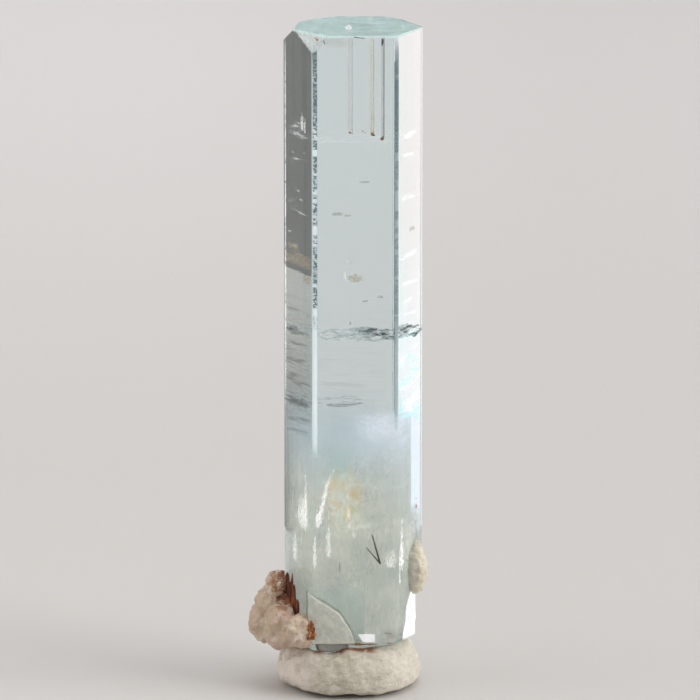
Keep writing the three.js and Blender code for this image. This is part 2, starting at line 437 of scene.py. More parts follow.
# %% Light the studio
scene.view_settings.view_transform = "Standard"
scene.world = bpy.data.worlds.new("studio_air")
scene.world.use_nodes = True
air = scene.world.node_tree.nodes["Background"]
air.inputs["Color"].default_value = (1.0, 0.99, 0.985, 1.0)
air.inputs["Strength"].default_value = 0.715


def soft_light(name, place, size, watts):
    """A square lamp, size metres across, that points at the crystal."""
    data = bpy.data.lights.new(name, "AREA")
    data.size, data.energy = size, watts
    light = bpy.data.objects.new(name, data)
    scene.collection.objects.link(light)
    light.location = place
    light.rotation_mode = "QUATERNION"
    light.rotation_quaternion = (aim - Vector(place)).to_track_quat("-Z", "Y")
    light.visible_camera = False
    print(f"{name}: {watts} W, {round((aim - Vector(place)).length, 2)} m away")


soft_light("overhead_box", (0.05, 0.1, 0.68), 0.7, 1.45)
soft_light("left_box", (-0.55, -0.12, 0.22), 0.45, 0.7)
soft_light("right_box", (0.5, -0.16, 0.26), 0.35, 1.9)

# %% [markdown]
# ## The cards that the crystal sees
#
# Polished faces show whatever stands behind them. Light that enters the front left face leaves
# the back turned 47 degrees to the right, and light through a narrow edge face leaves it turned
# 19 degrees. So a dark card on the right darkens only the left face, and a white one on the left
# fills the right face. Each ray also goes on downward, so a card's distance sets how far down
# the crystal it can still be seen. The cards stand out of view and are hidden from the camera,
# from reflections, from the light on other things and from shadows, so they show only through
# the stone. The white ones glow: painted light that stands in for brightly lit cards.

# %% Stand the cards
def card(name, turn, distance, width, high, foot, top, glow=0.0):
    """An upright card, one colour at its foot and one at its top. It stands turn degrees to the
    right of straight behind the crystal."""
    away = Vector((math.sin(math.radians(turn)), math.cos(math.radians(turn)), 0))
    piece = primitive(bpy.ops.mesh.primitive_plane_add, name,
                      away * distance + Vector((0, 0, high / 2)), (90, 0, -turn),
                      (width, high, 1), size=1)
    with editing(piece):
        bpy.ops.mesh.subdivide(number_cuts=3)
    # The white cards' glow is painted light, seen only through the stone.
    finish = Finish(name + "_card", Roughness=1.0, Emission_Strength=glow)
    shade = finish.blend(finish.z.ramp(0, 0.02), (*foot, 1), (*top, 1))
    finish.set(Base_Color=shade, Emission_Color=shade)
    piece.data.materials.append(finish.material)
    piece.visible_camera = piece.visible_diffuse = piece.visible_shadow = False
    piece.visible_glossy = False
    print(f"{name}: {turn} degrees round and {distance} m away")


card("dark_for_left_face", 48, 0.100, 0.06, 0.05, (0.19, 0.18, 0.18), (0.17, 0.165, 0.155))
card("grey_for_left_face", 48, 0.040, 0.022, 0.0211, (0.16, 0.19, 0.19), (0.66, 0.64, 0.605))
card("dark_for_left_edge", 19, 0.112, 0.016, 0.025, (0.16, 0.23, 0.25), (0.10, 0.16, 0.18))
card("dark_for_right_edge", -20, 0.079, 0.015, 0.03, (0.19, 0.26, 0.28), (0.09, 0.13, 0.13))
card("white_for_right_face", -48, 0.076, 0.035, 0.05, (0.70, 0.69, 0.69), (0.675, 0.607, 0.592), 0.67)
card("white_for_right_foot", -48, 0.040, 0.016, 0.010, (0.64, 0.66, 0.72), (0.68, 0.68, 0.72), 0.6)

# %% [markdown]
# ## The crystal
#
# The frame's crystal has hollows where the feldspar chip and the loose fragment sit, with a
# little air round them. In the real stone these have grown in tight, without any air, and light
# passes straight from one to the other. So the crystal is cut again from a block, with the
# planes of the frame's own outermost faces, and the chip and the fragment sit inside it.
#
# Clear stone shows every face twice or more by reflection inside it. The worn flats on the left
# and back edges would throw bright stripes that the real stone doesn't show, so they are left
# out, and the back right face is set in a little.

# %% Find the crystal's flat faces
SPECK, FLUSH, BACK_RIGHT_IN = (0.2 * MM) ** 2, 0.02 * MM, 0.22 * MM
source = copy_of_node("aquamarine_crystal", "crystal_source")
corners = [vertex.co.copy() for vertex in source.data.vertices]


def is_outermost(face):
    """Whether the whole crystal lies behind the face's plane."""
    return max((corner - face.center).dot(face.normal) for corner in corners) < FLUSH


def is_worn_flat(normal):
    """Whether this is the narrow flat on the left edge or on a back edge."""
    return normal.x < -0.99 or 0.8 < normal.y < 0.9


flats = [(face.center.copy(), face.normal.copy()) for face in source.data.polygons
         if face.area > SPECK and is_outermost(face) and not is_worn_flat(face.normal)]
flats = [(centre - normal * BACK_RIGHT_IN if normal.x > 0.8 and normal.y > 0.4 else centre, normal)
         for centre, normal in flats]
side_faces = [(centre, normal) for centre, normal in flats if abs(normal.z) < 0.02]
bpy.data.objects.remove(source)
print("crystal:", len(flats), "flat faces,", len(side_faces), "of them upright")

# %% [markdown]
# The block is cut by one plane after another. The broken base is one more plane, and a step at
# its right side is a notch cut out by a second block. No real edge is perfectly sharp: each gets
# a bevel as narrow as a hair. A copy, grown by a small clearance, is kept to cut room for the
# crystal out of what it stands in. The bevel can raise the rim of the top by a hair, so the top
# is shaved level at the end.

# %% Cut the crystal out of a block
BASE, BASE_DOWN = Vector((3.3, -1.46, 3.75)) * MM, Vector((0.15, -0.05, -0.987))
STEP = Vector((4.68, 0, 6.9)) * MM
HAIR, CLEARANCE, SHAVE = 0.035 * MM, 0.015 * MM, 0.002 * MM
ROUGH_BLOCK, NOTCH_BLOCK = 0.12, 0.02


def slice_off(piece, centre, normal, outer=True, fill=False):
    """Cuts a piece with a plane and clears what is outside it, or inside it."""
    with editing(piece):
        bpy.ops.mesh.bisect(plane_co=centre, plane_no=normal, use_fill=fill,
                            clear_outer=outer, clear_inner=not outer, threshold=1e-7)


def block(name, at, size):
    """A cube, size metres across."""
    return primitive(bpy.ops.mesh.primitive_cube_add, name, at, size=size)


crystal = block("crystal", (0, 0, ROUGH_BLOCK / 4), ROUGH_BLOCK)
for centre, normal in flats:
    slice_off(crystal, centre, normal, fill=True)
slice_off(crystal, BASE, BASE_DOWN, fill=True)
notch = block("notch", STEP, NOTCH_BLOCK)
slice_off(notch, STEP, Vector((1, 0, -0.02)), outer=False, fill=True)
slice_off(notch, STEP, Vector((-0.35, 0.1, 1)), fill=True)
cut_out(crystal, notch)
bpy.data.objects.remove(notch)
only(crystal)
bpy.ops.object.duplicate()
keep_out = grown(named(bpy.context.object, "keep_out"), CLEARANCE)
with editing(crystal, "EDGE"):
    pick(crystal, lambda edge: edge.is_manifold and edge.calc_face_angle() > math.radians(20)
         and edge.calc_length() > 1.0 * MM, "edges")
    bpy.ops.mesh.bevel(offset=HAIR, segments=2, affect="EDGES")
slice_off(crystal, Vector((0, 0, top_z - SHAVE)), Vector((0, 0, 1)), fill=True)
only(crystal)
bpy.ops.object.shade_flat()
print("crystal:", len(crystal.data.vertices), "corners after the bevel")

# %% [markdown]
# The finish is plain glass: full transmission, beryl's refraction of 1.575, and an even
# absorption that takes a little red out of each millimetre. Growth left fine level steps on the
# faces, strongest between the two cracks and most of all on the left face, so the bump is a
# noise drawn out sideways and let in mainly there. The cleaved corner at the top is the one face
# that isn't polished: its roughness is frosted wherever a point lies in that face's own plane.

# %% Give the crystal its finish
aquamarine = Finish("aquamarine", Transmission_Weight=1.0, IOR=1.575, Roughness=0.0,
                    Base_Color=(1, 1, 1, 1))
absorption = aquamarine.tree.nodes.new("ShaderNodeVolumeAbsorption")
absorption.inputs["Color"].default_value = (0.28, 0.74, 0.82, 1.0)
absorption.inputs["Density"].default_value = 36.0
aquamarine.tree.links.new(absorption.outputs[0],
                          aquamarine.tree.nodes["Material Output"].inputs["Volume"])
growth_steps = aquamarine.noise(0.35 * MM, 3.0, stretch=(9, 9, 0.6))
growth_band = aquamarine.down.ramp(20, 23) * aquamarine.down.ramp(30, 27)
growth_band = growth_band * (0.4 + 2.0 * aquamarine.across.ramp(-2.4, -3.0)) + 0.04
aquamarine.bump(growth_steps * growth_band, 0.012 * MM)
corner, facing = next(flat for flat in flats if flat[1].x < -0.6 and flat[1].y < -0.6)
reach = aquamarine.x * facing.x + aquamarine.y * facing.y + aquamarine.z * facing.z
cleaved = (reach - corner.dot(facing)).ramp(-0.08 * MM, -0.04 * MM)
cleaved = cleaved * aquamarine.down.ramp(0.02, 0.06)
frost = aquamarine.noise(0.35 * MM, 4.0, 0.6).ramp(0.35, 0.65)
aquamarine.set(Roughness=cleaved * (0.12 + 0.3 * frost))
finished(crystal, aquamarine, "aquamarine", "aquamarine_crystal")

# %% [markdown]
# ## Sheets inside the crystal
#
# Most of what clouds a crystal lies in sheets: growth zones parallel to the faces, and healed
# cracks that cross it. A level sheet is a fine grid, trimmed with the planes of the crystal's
# own upright faces, after a cloudy texture has rumpled it a little. It ends a hair short of the
# faces, at `SKIN`, so that no film ever touches the polished surface.

# %% Helpers for sheets
SKIN = 0.05 * MM


def rumple(piece, blotch, height, direction="NORMAL", depth=2):
    """Pushes the surface in and out by a cloudy texture with blotches about blotch across."""
    texture = bpy.data.textures.new(piece.name, "CLOUDS")
    texture.noise_scale = blotch
    texture.noise_depth = depth
    return apply_modifier(piece, "DISPLACE", texture=texture, strength=height, mid_level=0.5,
                          direction=direction)


def rumpled_grid(name, squares, size, at, turn, blotch, height, direction="NORMAL", depth=2):
    """A grid of so many squares each way, placed and then rumpled. Sizes in millimetres."""
    sheet = primitive(bpy.ops.mesh.primitive_grid_add, name, at, turn,
                      (size[0] * MM, size[1] * MM, 1),
                      x_subdivisions=squares[0], y_subdivisions=squares[1], size=1)
    return rumple(sheet, blotch * MM, height * MM, direction, depth)


def trim(piece):
    """Cuts away all that isn't well inside the crystal's upright faces."""
    for centre, normal in side_faces:
        slice_off(piece, centre - normal * SKIN, normal)
    return piece


def level_sheet(name, down, lean_right=0.0, lean_back=0.0, blotch=1.5, height=0.4):
    """A rumpled sheet across the crystal. The leans are in degrees, downward to that side."""
    sheet = rumpled_grid(name, (70, 50), (14, 10), spot(0, 3.5, down),
                         (-lean_back, lean_right, 0), blotch, height, "Z")
    return smooth(trim(sheet))


def film_finish(name, **constants):
    """The dull, see-through finish of a film sealed in the stone."""
    return Finish(name, Roughness=0.9, Specular_IOR_Level=0.1, **constants)


# %% [markdown]
# ## The milky foot
#
# From a little below its middle, the stone fills with cloud until its foot is nearly white.
# The cloud follows the growth zones, one inside another. Each zone once was the crystal's own
# surface, so its shell is cut with the same upright faces, moved inward, and then rumpled.
# Every view looks through a dozen of these shells.

# %% Model the milky zone
MILK_TOP, MILK_FOOT = top_z - 24.5 * MM, 3.3 * MM
INSETS = (0.22, 0.6, 1.1, 1.7, 2.4, 3.0)
shells = []
for inset in INSETS:
    shell = block("milk_shell", (axis_x, 0, (MILK_TOP + MILK_FOOT) / 2), MILK_TOP - MILK_FOOT)
    for centre, normal in side_faces:
        slice_off(shell, centre - normal * inset * MM, normal, fill=True)
    slice_off(shell, BASE - BASE_DOWN * 0.15 * MM, BASE_DOWN)
    with editing(shell):
        pick(shell, lambda face: abs(face.normal.z) > 0.9)
        bpy.ops.mesh.delete(type="FACE")
        bpy.ops.mesh.select_all(action="SELECT")
        bpy.ops.mesh.subdivide(number_cuts=11)
    shells.append(smooth(rumple(shell, 2.2 * MM, 0.3 * MM)))
milk_zone = join(shells, "milky_growth_zones")
print("milky zone:", len(INSETS), "shells, one inside another")

# %% [markdown]
# The milk is a see-through white that glows a little, painted light that keeps it pale inside
# the stone. Its alpha is a sum of soft clouds and finer wisps, and it thickens downward. Masks
# keep it out of the clear strip on the right, out of the fragment's bed, and out of the step at
# the right foot.

# %% Give the milk its finish
# The milk's glow is painted light.
milk = film_finish("milk", Emission_Strength=0.2)
cloud = milk.noise(2.6 * MM, 4.0, 0.6, stretch=(1, 1, 2.0)).ramp(0.25, 0.75)
wisps = milk.noise(0.5 * MM, 5.0, 0.7, stretch=(0.8, 0.8, 4.0), shift=3.0).ramp(0.35, 0.75)
thickening = milk.down.ramp(26.0, 34.0)
clear_right = (milk.across + milk.deep * 0.52).ramp(5.2, 4.9).larger(milk.down.ramp(35.4, 36.4))
in_fragment = milk.deep.ramp(1.5, 1.3) * milk.down.ramp(40.5, 40.9) * milk.across.ramp(0.9, 0.6)
in_notch = milk.x.ramp(4.45 * MM, 4.55 * MM) * milk.z.ramp(7.3 * MM, 7.15 * MM)
amount = thickening * clear_right * (1.0 - in_fragment) * (1.0 - in_notch)
tone = milk.noise(1.6 * MM, 4.0, 0.6, shift=7.0).ramp(0.3, 0.7)
low_white = milk.blend(tone, colour(206, 211, 206), colour(238, 236, 225))
white = milk.blend(milk.down.ramp(28.5, 35.0), colour(226, 234, 240), low_white)
milk.set(Alpha=amount * (0.08 + 0.32 * cloud + 0.12 * wisps), Base_Color=white,
         Emission_Color=white)
finished(milk_zone, milk, "cleaved_base")

# %% [markdown]
# Two level sheets close the cloud from above, so the crystal's top shows it, pale and blue.
# They glow, painted light that keeps them pale.

# %% Model the level clouds
levels = [level_sheet("level_cloud", down, lean, -lean / 2, blotch=2.5, height=1.6)
          for down, lean in ((33.5, 7), (36.5, -6))]
level_clouds = join(levels, "level_clouds")
haze = film_finish("haze", Emission_Color=(1, 0.98, 0.96, 1), Emission_Strength=0.55)
from_axis = (haze.across ** 2.0) * 0.09 + ((haze.deep - 3.5) ** 2.0) * 0.16
haze.set(Alpha=haze.noise(1.2 * MM, 4.0, 0.6).ramp(0.3, 0.6) * from_axis.ramp(1.0, 0.1) * 0.8,
         Base_Color=colour(236, 236, 234))
finished(level_clouds, haze, "cleaved_base")

# %% [markdown]
# The last layer to grow, just under the flat top, is a thin film full of tiny fluid drops. It
# glows, painted light, and gives the top its even pale blue.

# %% Model the film under the top
top_film = level_sheet("top_film", 0.18, height=0.04)
for centre, normal in flats:
    if 0.02 < normal.z < 0.98:
        slice_off(top_film, centre - normal * SKIN, normal)
drops = film_finish("drops", Emission_Color=colour(196, 226, 220), Emission_Strength=0.5)
drops.set(Alpha=drops.noise(1.0 * MM, 4.0, 0.6).ramp(0.2, 0.8) * 0.3 + 0.38,
          Base_Color=colour(206, 232, 226))
finished(top_film, drops, "cleaved_base")

# %% [markdown]
# ## Two healed cracks
#
# A crack that grew shut again is left as a film of dust and fluid. Seen almost edge on, its
# patches draw out into the dark and white streaks that cross the crystal. The upper crack is
# the stronger one, dark on the right with white glints in it: its dark is a painted reflection
# of the dark room and its glints are painted highlights.

# %% Model the upper healed crack
upper_crack = level_sheet("upper_crack", 22.3, 1.5, 2.0, blotch=1.1, height=0.9)
film = film_finish("crack_film")
streaks = film.noise(0.8 * MM, 5.0, 0.65, stretch=(2.2, 1, 1)).ramp(0.5, 0.62)
blots = film.noise(1.6 * MM, 3.0, 0.6, stretch=(1.4, 1, 1), shift=4.0).ramp(0.42, 0.56)
reflected_dark_side = film.across.ramp(-0.6, 1.6) * film.across.ramp(5.2, 4.4)
far_left = film.across.ramp(-2.6, -3.4)
glints = film.noise(0.35 * MM, 4.0, 0.65, stretch=(3, 1, 1), shift=8.0).ramp(0.54, 0.6)
# The dark is a painted reflection of the dark room, and the glints are painted highlights.
dark = blots * reflected_dark_side.larger(far_left)
film.set(Alpha=streaks * 0.6 + dark * 0.45,
         Base_Color=film.blend(dark * (1.0 - glints), colour(238, 246, 244), colour(58, 78, 76)))
finished(upper_crack, film, "cleaved_base")

# %% [markdown]
# The lower crack is thinner, and shows only as fine dark lines from the left to the middle.

# %% Model the lower healed crack
lower_crack = level_sheet("lower_crack", 27.3, -1.5, 1.0, blotch=1.6, height=0.5)
film = film_finish("thin_crack_film")
lines = film.noise(0.6 * MM, 4.0, 0.6, stretch=(4, 1, 1)).ramp(0.55, 0.62)
reaches = film.across.ramp(1.2, 0.2)
far_left = film.across.ramp(-2.4, -3.0)
film.set(Alpha=lines * reaches * 0.6 + lines * far_left * 0.35,
         Base_Color=film.blend(film.across.ramp(-1.5, -3.2), colour(92, 104, 102),
                               colour(60, 84, 82)))
finished(lower_crack, film, "cleaved_base")

# %% [markdown]
# ## The wispy veil below the tubes
# Where the tubes end, growth once paused. A thin white veil marks that surface and climbs
# toward the right, with fainter ones under it. The veils glow, painted light, dim on the left
# and full white near the right side.

# %% Model the veils
veils = [level_sheet("veil", 7.75, -1.0, 0.5, blotch=1.2, height=0.35)]
for down, lean in ((9.6, -6), (12.4, -7), (16.6, -6), (18.7, -7)):
    veils.append(level_sheet("veil", down, lean, 1.0, blotch=1.2, height=0.3))
pause_veils = join(veils, "pause_veils")
# Painted light: the veils glow dim on the left and full white near the right side.
veil = film_finish("veil", Emission_Strength=1.1)
bright = veil.blend(veil.across.ramp(2.6, 3.2), (0.4, 0.4, 0.4, 1), (1, 1, 1, 1))
wisp = veil.noise(0.9 * MM, 5.0, 0.7, stretch=(2.5, 1.2, 1)).ramp(0.5, 0.75)
first = veil.down.ramp(8.6, 8.2)
edge_on = (veil.across ** 2.0).ramp(5.0, 12.0)
veil.set(Alpha=wisp * (first * 0.45 + edge_on * 0.5).smaller(0.6),
         Base_Color=colour(240, 246, 246), Emission_Color=bright)
finished(pause_veils, veil, "cleaved_base")

# %% [markdown]
# ## Growth tubes and their rusty ends
#
# Fine tubes run down from the top, as straight as the crystal, and each stops on a bead of rust.
# A tube is made from a rod, which is a cone with equal ends. A bead is a small ball with its
# points moved at random, and a flake is such a ball pressed flat and drawn out.

# %% Helpers for rods, flakes and beads
FRONT, LEFT, UP = Vector((0, -1, 0)), Vector((-0.866, -0.5, 0)), Vector((0, 0, 1))


def rod(start, end, radius, end_radius=None, sides=10):
    """A straight rod, or a needle if its end radius is smaller."""
    piece = primitive(bpy.ops.mesh.primitive_cone_add, "rod", vertices=sides, radius1=radius,
                      radius2=radius if end_radius is None else end_radius,
                      depth=(end - start).length)
    piece.rotation_mode = "QUATERNION"
    piece.rotation_quaternion = (end - start).to_track_quat("Z", "X")
    piece.location = (start + end) / 2
    return settle(piece)


def rough_ball(radius, offset, seed):
    """A small ball whose points are each moved at random by up to offset."""
    piece = primitive(bpy.ops.mesh.primitive_ico_sphere_add, "ball", subdivisions=2, radius=radius)
    with editing(piece, "VERT"):
        bpy.ops.transform.vertex_random(offset=offset, seed=seed)
    return piece


def flake(start, end, width, facing, thick, seed=1):
    """A thin plate with a ragged outline, from start to end and facing a given way."""
    piece = rough_ball(0.5, 0.12, seed)
    along = end - start
    level = (facing - facing.project(along)).normalized()
    side = along.cross(level).normalized()
    turned = Matrix((along, side * width, level * thick)).transposed().to_4x4()
    piece.matrix_world = Matrix.Translation((start + end) / 2) @ turned
    return settle(piece)


def bead(across, deep, down, size, seed, tall=1):
    """A small rough lump, size millimetres across and tall times as high."""
    piece = rough_ball(size * MM / 2, size * MM * 0.09, seed)
    return placed(piece, spot(across, deep, down), scale=(1, 1, tall))


# %% [markdown]
# A tube bends the light like a rod of air, so it has a pale side and a dark side. Real air in
# the glass would sparkle too much at this size, so each tube is a film whose colour changes from
# its left to its right. The middle tube is stained tan, and the right one is the darkest.

# %% Model the tubes
TUBES = {
    "left": (-0.27, 3.5, 7.4, 0.17, colour(236, 226, 224), colour(160, 168, 168), 0.45),
    "middle": (1.3, 2.9, 7.45, 0.14, colour(240, 230, 205), colour(190, 168, 138), 0.6),
    "right": (2.05, 1.4, 7.55, 0.11, colour(214, 216, 216), colour(64, 76, 74), 0.95),
}
for side, (across, deep, end, radius, pale, dark, strong) in TUBES.items():
    tube = rod(spot(across, deep, 0.25), spot(across, deep, end), radius * MM, sides=14)
    with editing(tube):
        pick(tube, lambda face: abs(face.normal.z) < 0.5)
        bpy.ops.mesh.subdivide(number_cuts=2)
    named(rumple(tube, 0.6 * MM, 0.02 * MM), "tube_" + side)
    lining = film_finish("lining_" + side, Emission_Color=pale, Emission_Strength=0.22)
    edge = (lining.across - across) * (1 / radius)
    uneven = lining.noise(0.5 * MM, 2.0, stretch=(1, 1, 4)).ramp(0.3, 0.7)
    shadow = edge.ramp(0.65 - strong * 0.5, 0.85 - strong * 0.5)
    lining.set(Base_Color=lining.blend(shadow, pale, dark),
               Alpha=(edge.ramp(0.2, -0.3) * 0.5 + shadow * strong) * (0.6 + 0.4 * uneven))
    finished(tube, lining, "feldspar")

# %% [markdown]
# Rust collects wherever iron-rich water could creep in: at the tubes' ends, on the right edge
# above the chip, at the cleaved corner, and in thin flakes along the foot. Its grain is a fine
# noise between dark and light orange brown.

# %% Model the rusty beads
BEADS = ((-0.3, 3.5, 7.5, 0.16, 3), (-0.13, 3.45, 7.52, 0.10, 4), (1.3, 2.9, 7.51, 0.25, 5),
         (1.42, 2.85, 7.6, 0.14, 6), (1.28, 2.85, 6.34, 0.12, 7), (1.2, 2.9, 7.1, 0.08, 8),
         (0.6, 2.9, 7.3, 0.1, 16), (0.76, 2.9, 7.42, 0.08, 17), (2.0, 1.4, 7.65, 0.26, 9),
         (2.06, 1.4, 7.52, 0.14, 10), (4.44, 2.64, 35.2, 0.16, 11, 2), (4.42, 2.64, 34.6, 0.10, 12),
         (-0.41, 1.3, 34.42, 0.2, 13), (-2.62, 0.16, 0.32, 0.17, 14), (-2.75, 0.2, 0.2, 0.1, 15))
RUST_FLAKES = (((2.15, 0.25, 44.0), (2.85, 0.25, 44.1), 0.14, 3),
               ((2.4, 0.25, 44.4), (2.9, 0.25, 44.25), 0.12, 4),
               ((2.3, 0.25, 44.75), (2.7, 0.25, 44.75), 0.08, 5),
               ((-0.5, 0.15, 44.72), (0.7, 0.15, 44.86), 0.24, 6),
               ((0.5, 0.15, 44.84), (1.7, 0.15, 44.8), 0.1, 7))
beads = [bead(*place) for place in BEADS]
for start, end, width, seed in RUST_FLAKES:
    beads.append(flake(spot(*start), spot(*end), width * MM, FRONT, 0.05 * MM, seed))
rust_beads = join(beads, "rust_beads")
rust = Finish("bead_rust", Roughness=0.7)
grain = rust.noise(0.09 * MM, 3.0)
rust.set(Base_Color=rust.blend(grain.ramp(0.35, 0.65), colour(122, 66, 24), colour(205, 140, 66)))
rust.bump(grain, 0.02 * MM)
finished(rust_beads, rust, "rust")

# %% [markdown]
# ## Needles and dark marks
#
# Near the foot two black needles cross in a narrow V. Higher up there are only short dashes,
# seen as hairlines.

# %% Model the needles
NEEDLES = (((1.30, 0.1, 36.65), (1.89, 0.1, 38.8), 0.04, 0.07),
           ((0.90, 0.1, 37.6), (1.86, 0.1, 38.75), 0.025, 0.05),
           ((-1.03, 0.1, 38.7), (-1.02, 0.1, 39.5), 0.02, 0.015),
           ((0.0, 0.07, 0.12), (0.76, 0.07, 0.2), 0.03, 0.02))
needles = [rod(spot(*start), spot(*end), radius * MM, end_radius * MM, 8)
           for start, end, radius, end_radius in NEEDLES]
needles += [flake(spot(2.02, 1.2, 0.35), spot(1.98, 1.2, 0.9), 0.13 * MM, FRONT, 0.05 * MM, 5),
            flake(spot(-2.2, 0.1, 0.3), spot(-2.05, 0.1, 0.65), 0.05 * MM, FRONT, 0.03 * MM, 6)]
dark_needles = join(needles, "dark_needles")
needle = film_finish("needle")
needle.set(Base_Color=needle.blend(needle.noise(0.2 * MM).ramp(0.3, 0.7),
                                   colour(44, 52, 50), colour(92, 92, 80)))
finished(dark_needles, needle, "iron_crust")

# %% [markdown]
# ## Patches: small flaws seen from one side
#
# Small cracks inside the stone mirror the lights and show as pale wisps, tufts and threads. Their
# white is partly their own and partly painted reflection of the lights, and most of these films
# glow: painted light. Each is made as a small upright patch, turned by as many degrees as its
# crystal face is. The patch has its own map, from -1 to 1 across and up, and its finish fades out
# toward the borders, so no outline shows. Patches that share a finish are joined into one piece.

# %% Helpers for patches
ON_FRONT, ON_LEFT, ON_RIGHT = 0, -60, 60


def patch(across, deep, down, width, height, faces=ON_FRONT, lean=0.0, rough=0.15):
    """A small rumpled upright patch centred on a spot. It leans to the right, in degrees."""
    return rumpled_grid("patch", (12, 20), (width, height), spot(across, deep, down),
                        (90, lean, faces), 0.5, rough)


def patches(name, *places):
    """A patch at each place, all joined in one piece."""
    return join([patch(*place) for place in places], name)


def own_map(finish):
    """How far across and how far up its own patch a point is, each from -1 to 1."""
    both = finish.node("ShaderNodeTexCoord", None, None, "UV")
    split = finish.node("ShaderNodeSeparateXYZ", None, {0: both}).socket.node
    return [Value(finish, split.outputs[axis]) * 2.0 - 1.0 for axis in (0, 1)]


def fade(right, up, hold_right=2.0, hold_up=2.0):
    """1 in the middle of a patch and 0 at its borders. A higher hold fades nearer the border."""
    return (1.0 - right ** hold_right) * (1.0 - up ** hold_up)


# %% [markdown]
# Fine level wisps hang behind both side faces, where they show white against the dark left face
# and brighter still on the white right one. They glow, painted light: grey behind the left and
# front faces and white behind the right one. Their threads are a noise drawn out sideways.

# %% Model the wisps behind the side faces
side_wisps = patches(
    "side_wisps",
    (-3.95, 2.1, 7.6, 3.6, 0.5, ON_LEFT, 2), (-3.9, 2.0, 9.35, 3.6, 0.3, ON_LEFT, -6),
    (-4.3, 2.7, 9.0, 0.5, 0.4, ON_LEFT), (-3.5, 1.3, 8.75, 0.5, 0.4, ON_LEFT),
    (-4.0, 2.2, 11.7, 1.5, 0.45, ON_LEFT, 10), (-3.7, 1.7, 12.3, 0.9, 0.3, ON_LEFT),
    (-3.9, 2.0, 13.2, 3.6, 0.4, ON_LEFT, 4), (-4.55, 3.1, 14.9, 1.0, 0.3, ON_LEFT),
    (-4.2, 2.5, 15.85, 1.2, 0.35, ON_LEFT), (-3.95, 2.1, 6.9, 3.4, 0.9, ON_LEFT, -20),
    (-0.4, 1.2, 16.6, 1.1, 0.45), (-2.4, 0.5, 7.5, 1.4, 0.5),
    *((3.93, 1.72, down, 3.6, height, ON_RIGHT, lean) for down, height, lean in (
        (7.5, 0.6, -6), (9.0, 0.4, 4), (12.1, 0.35, 0), (16.3, 0.6, -4), (18.4, 0.5, 0),
        (19.6, 0.4, -6), (20.6, 0.4, 4))))
# Painted light: the wisps glow grey behind the left and front faces and white behind the right.
wisp = film_finish("wisp", Emission_Strength=1.1)
bright = wisp.blend(wisp.across.ramp(2.2, 2.8), (0.25, 0.25, 0.25, 1), (1, 1, 1, 1))
threads = wisp.noise(0.16 * MM, 4.0, 0.65, stretch=(5, 5, 1))
wisp.set(Alpha=(threads * 1.3 + fade(*own_map(wisp)) * 0.45).ramp(0.88, 1.3) * 0.75,
         Base_Color=colour(240, 245, 245), Emission_Color=bright)
finished(side_wisps, wisp, "pale_feldspar")

# %% [markdown]
# Round the milky zone stand white tufts, like frost. Each is pointed like a flame: it is widest
# low down, and fine spikes and broken clumps of noise tear its outline. The tufts glow a little,
# painted light.

# %% Model the white tufts
white_tufts = patches(
    "white_tufts",
    (-3.6, 1.5, 35.2, 1.6, 2.9, ON_LEFT), (-3.4, 1.2, 34.0, 0.5, 3.8, ON_LEFT),
    (-2.3, 0.25, 34.6, 0.6, 2.9, ON_FRONT, 13), (-2.45, 0.2, 35.2, 0.35, 2.0, ON_FRONT, 10),
    (-1.83, 0.25, 37.1, 0.4, 2.7), (-2.8, 0.3, 37.9, 0.35, 2.6),
    (-4.2, 2.5, 38.0, 0.7, 2.6, ON_LEFT), (-2.0, 0.2, 33.2, 0.35, 1.6, ON_FRONT, 14),
    (-3.65, 1.55, 6.5, 0.45, 1.5, ON_LEFT), (-3.45, 1.2, 6.7, 0.3, 1.3, ON_LEFT),
    (3.45, 0.75, 37.4, 0.55, 4.2, ON_RIGHT), (3.3, 0.5, 38.8, 0.3, 3.4, ON_RIGHT),
    (2.6, 0.3, 38.4, 0.8, 1.6), (-0.45, 0.9, 34.4, 0.35, 4.2, ON_FRONT, -3),
    (-1.7, 0.9, 32.5, 0.3, 2.0, ON_FRONT, 24), (-0.1, 0.9, 36.4, 0.3, 1.8, ON_FRONT, -8))
tuft = film_finish("tuft", Emission_Color=(1, 1, 1, 1), Emission_Strength=0.5)
right, up = own_map(tuft)
flame = (1.0 - right ** 2.0) * 0.5 - up * 0.22 - up ** 6.0 * 0.6
spikes = tuft.noise(0.05 * MM, 3.0, 0.65, stretch=(1, 1, 12))
broken = tuft.noise(0.11 * MM, 4.0, 0.75, stretch=(1, 1, 2.5), shift=6.0)
tuft.set(Alpha=(spikes * 1.3 + broken * 2.2 + flame).ramp(1.85, 2.5) * 0.8,
         Base_Color=colour(250, 246, 246))
finished(white_tufts, tuft, "pale_feldspar")

# %% [markdown]
# Between the tufts the stone is drawn through with faint upright threads. They are larger
# patches of the same kind, thinner in the alpha, with the noise drawn out upward, and they glow
# a little too, painted light.

# %% Model the pale streaks
pale_streaks = patches(
    "pale_streaks",
    (-3.9, 2.0, 36.0, 4.0, 8.0, ON_LEFT), (-1.6, 0.3, 36.0, 3.2, 7.0),
    (-0.4, 0.8, 31.0, 2.0, 6.0, ON_FRONT, -6), (4.0, 1.6, 38.5, 2.2, 6.0, ON_RIGHT))
pale_thread = film_finish("pale_thread", Emission_Color=(1, 1, 1, 1), Emission_Strength=0.35)
inside = fade(*own_map(pale_thread), 4.0, 4.0)
threads = pale_thread.noise(0.12 * MM, 4.0, 0.65, stretch=(1, 1, 9))
pale_thread.set(Alpha=(threads * 1.5 + inside * 0.3).ramp(1.02, 1.45) * 0.5,
                Base_Color=colour(240, 244, 240))
finished(pale_streaks, pale_thread, "pale_feldspar")
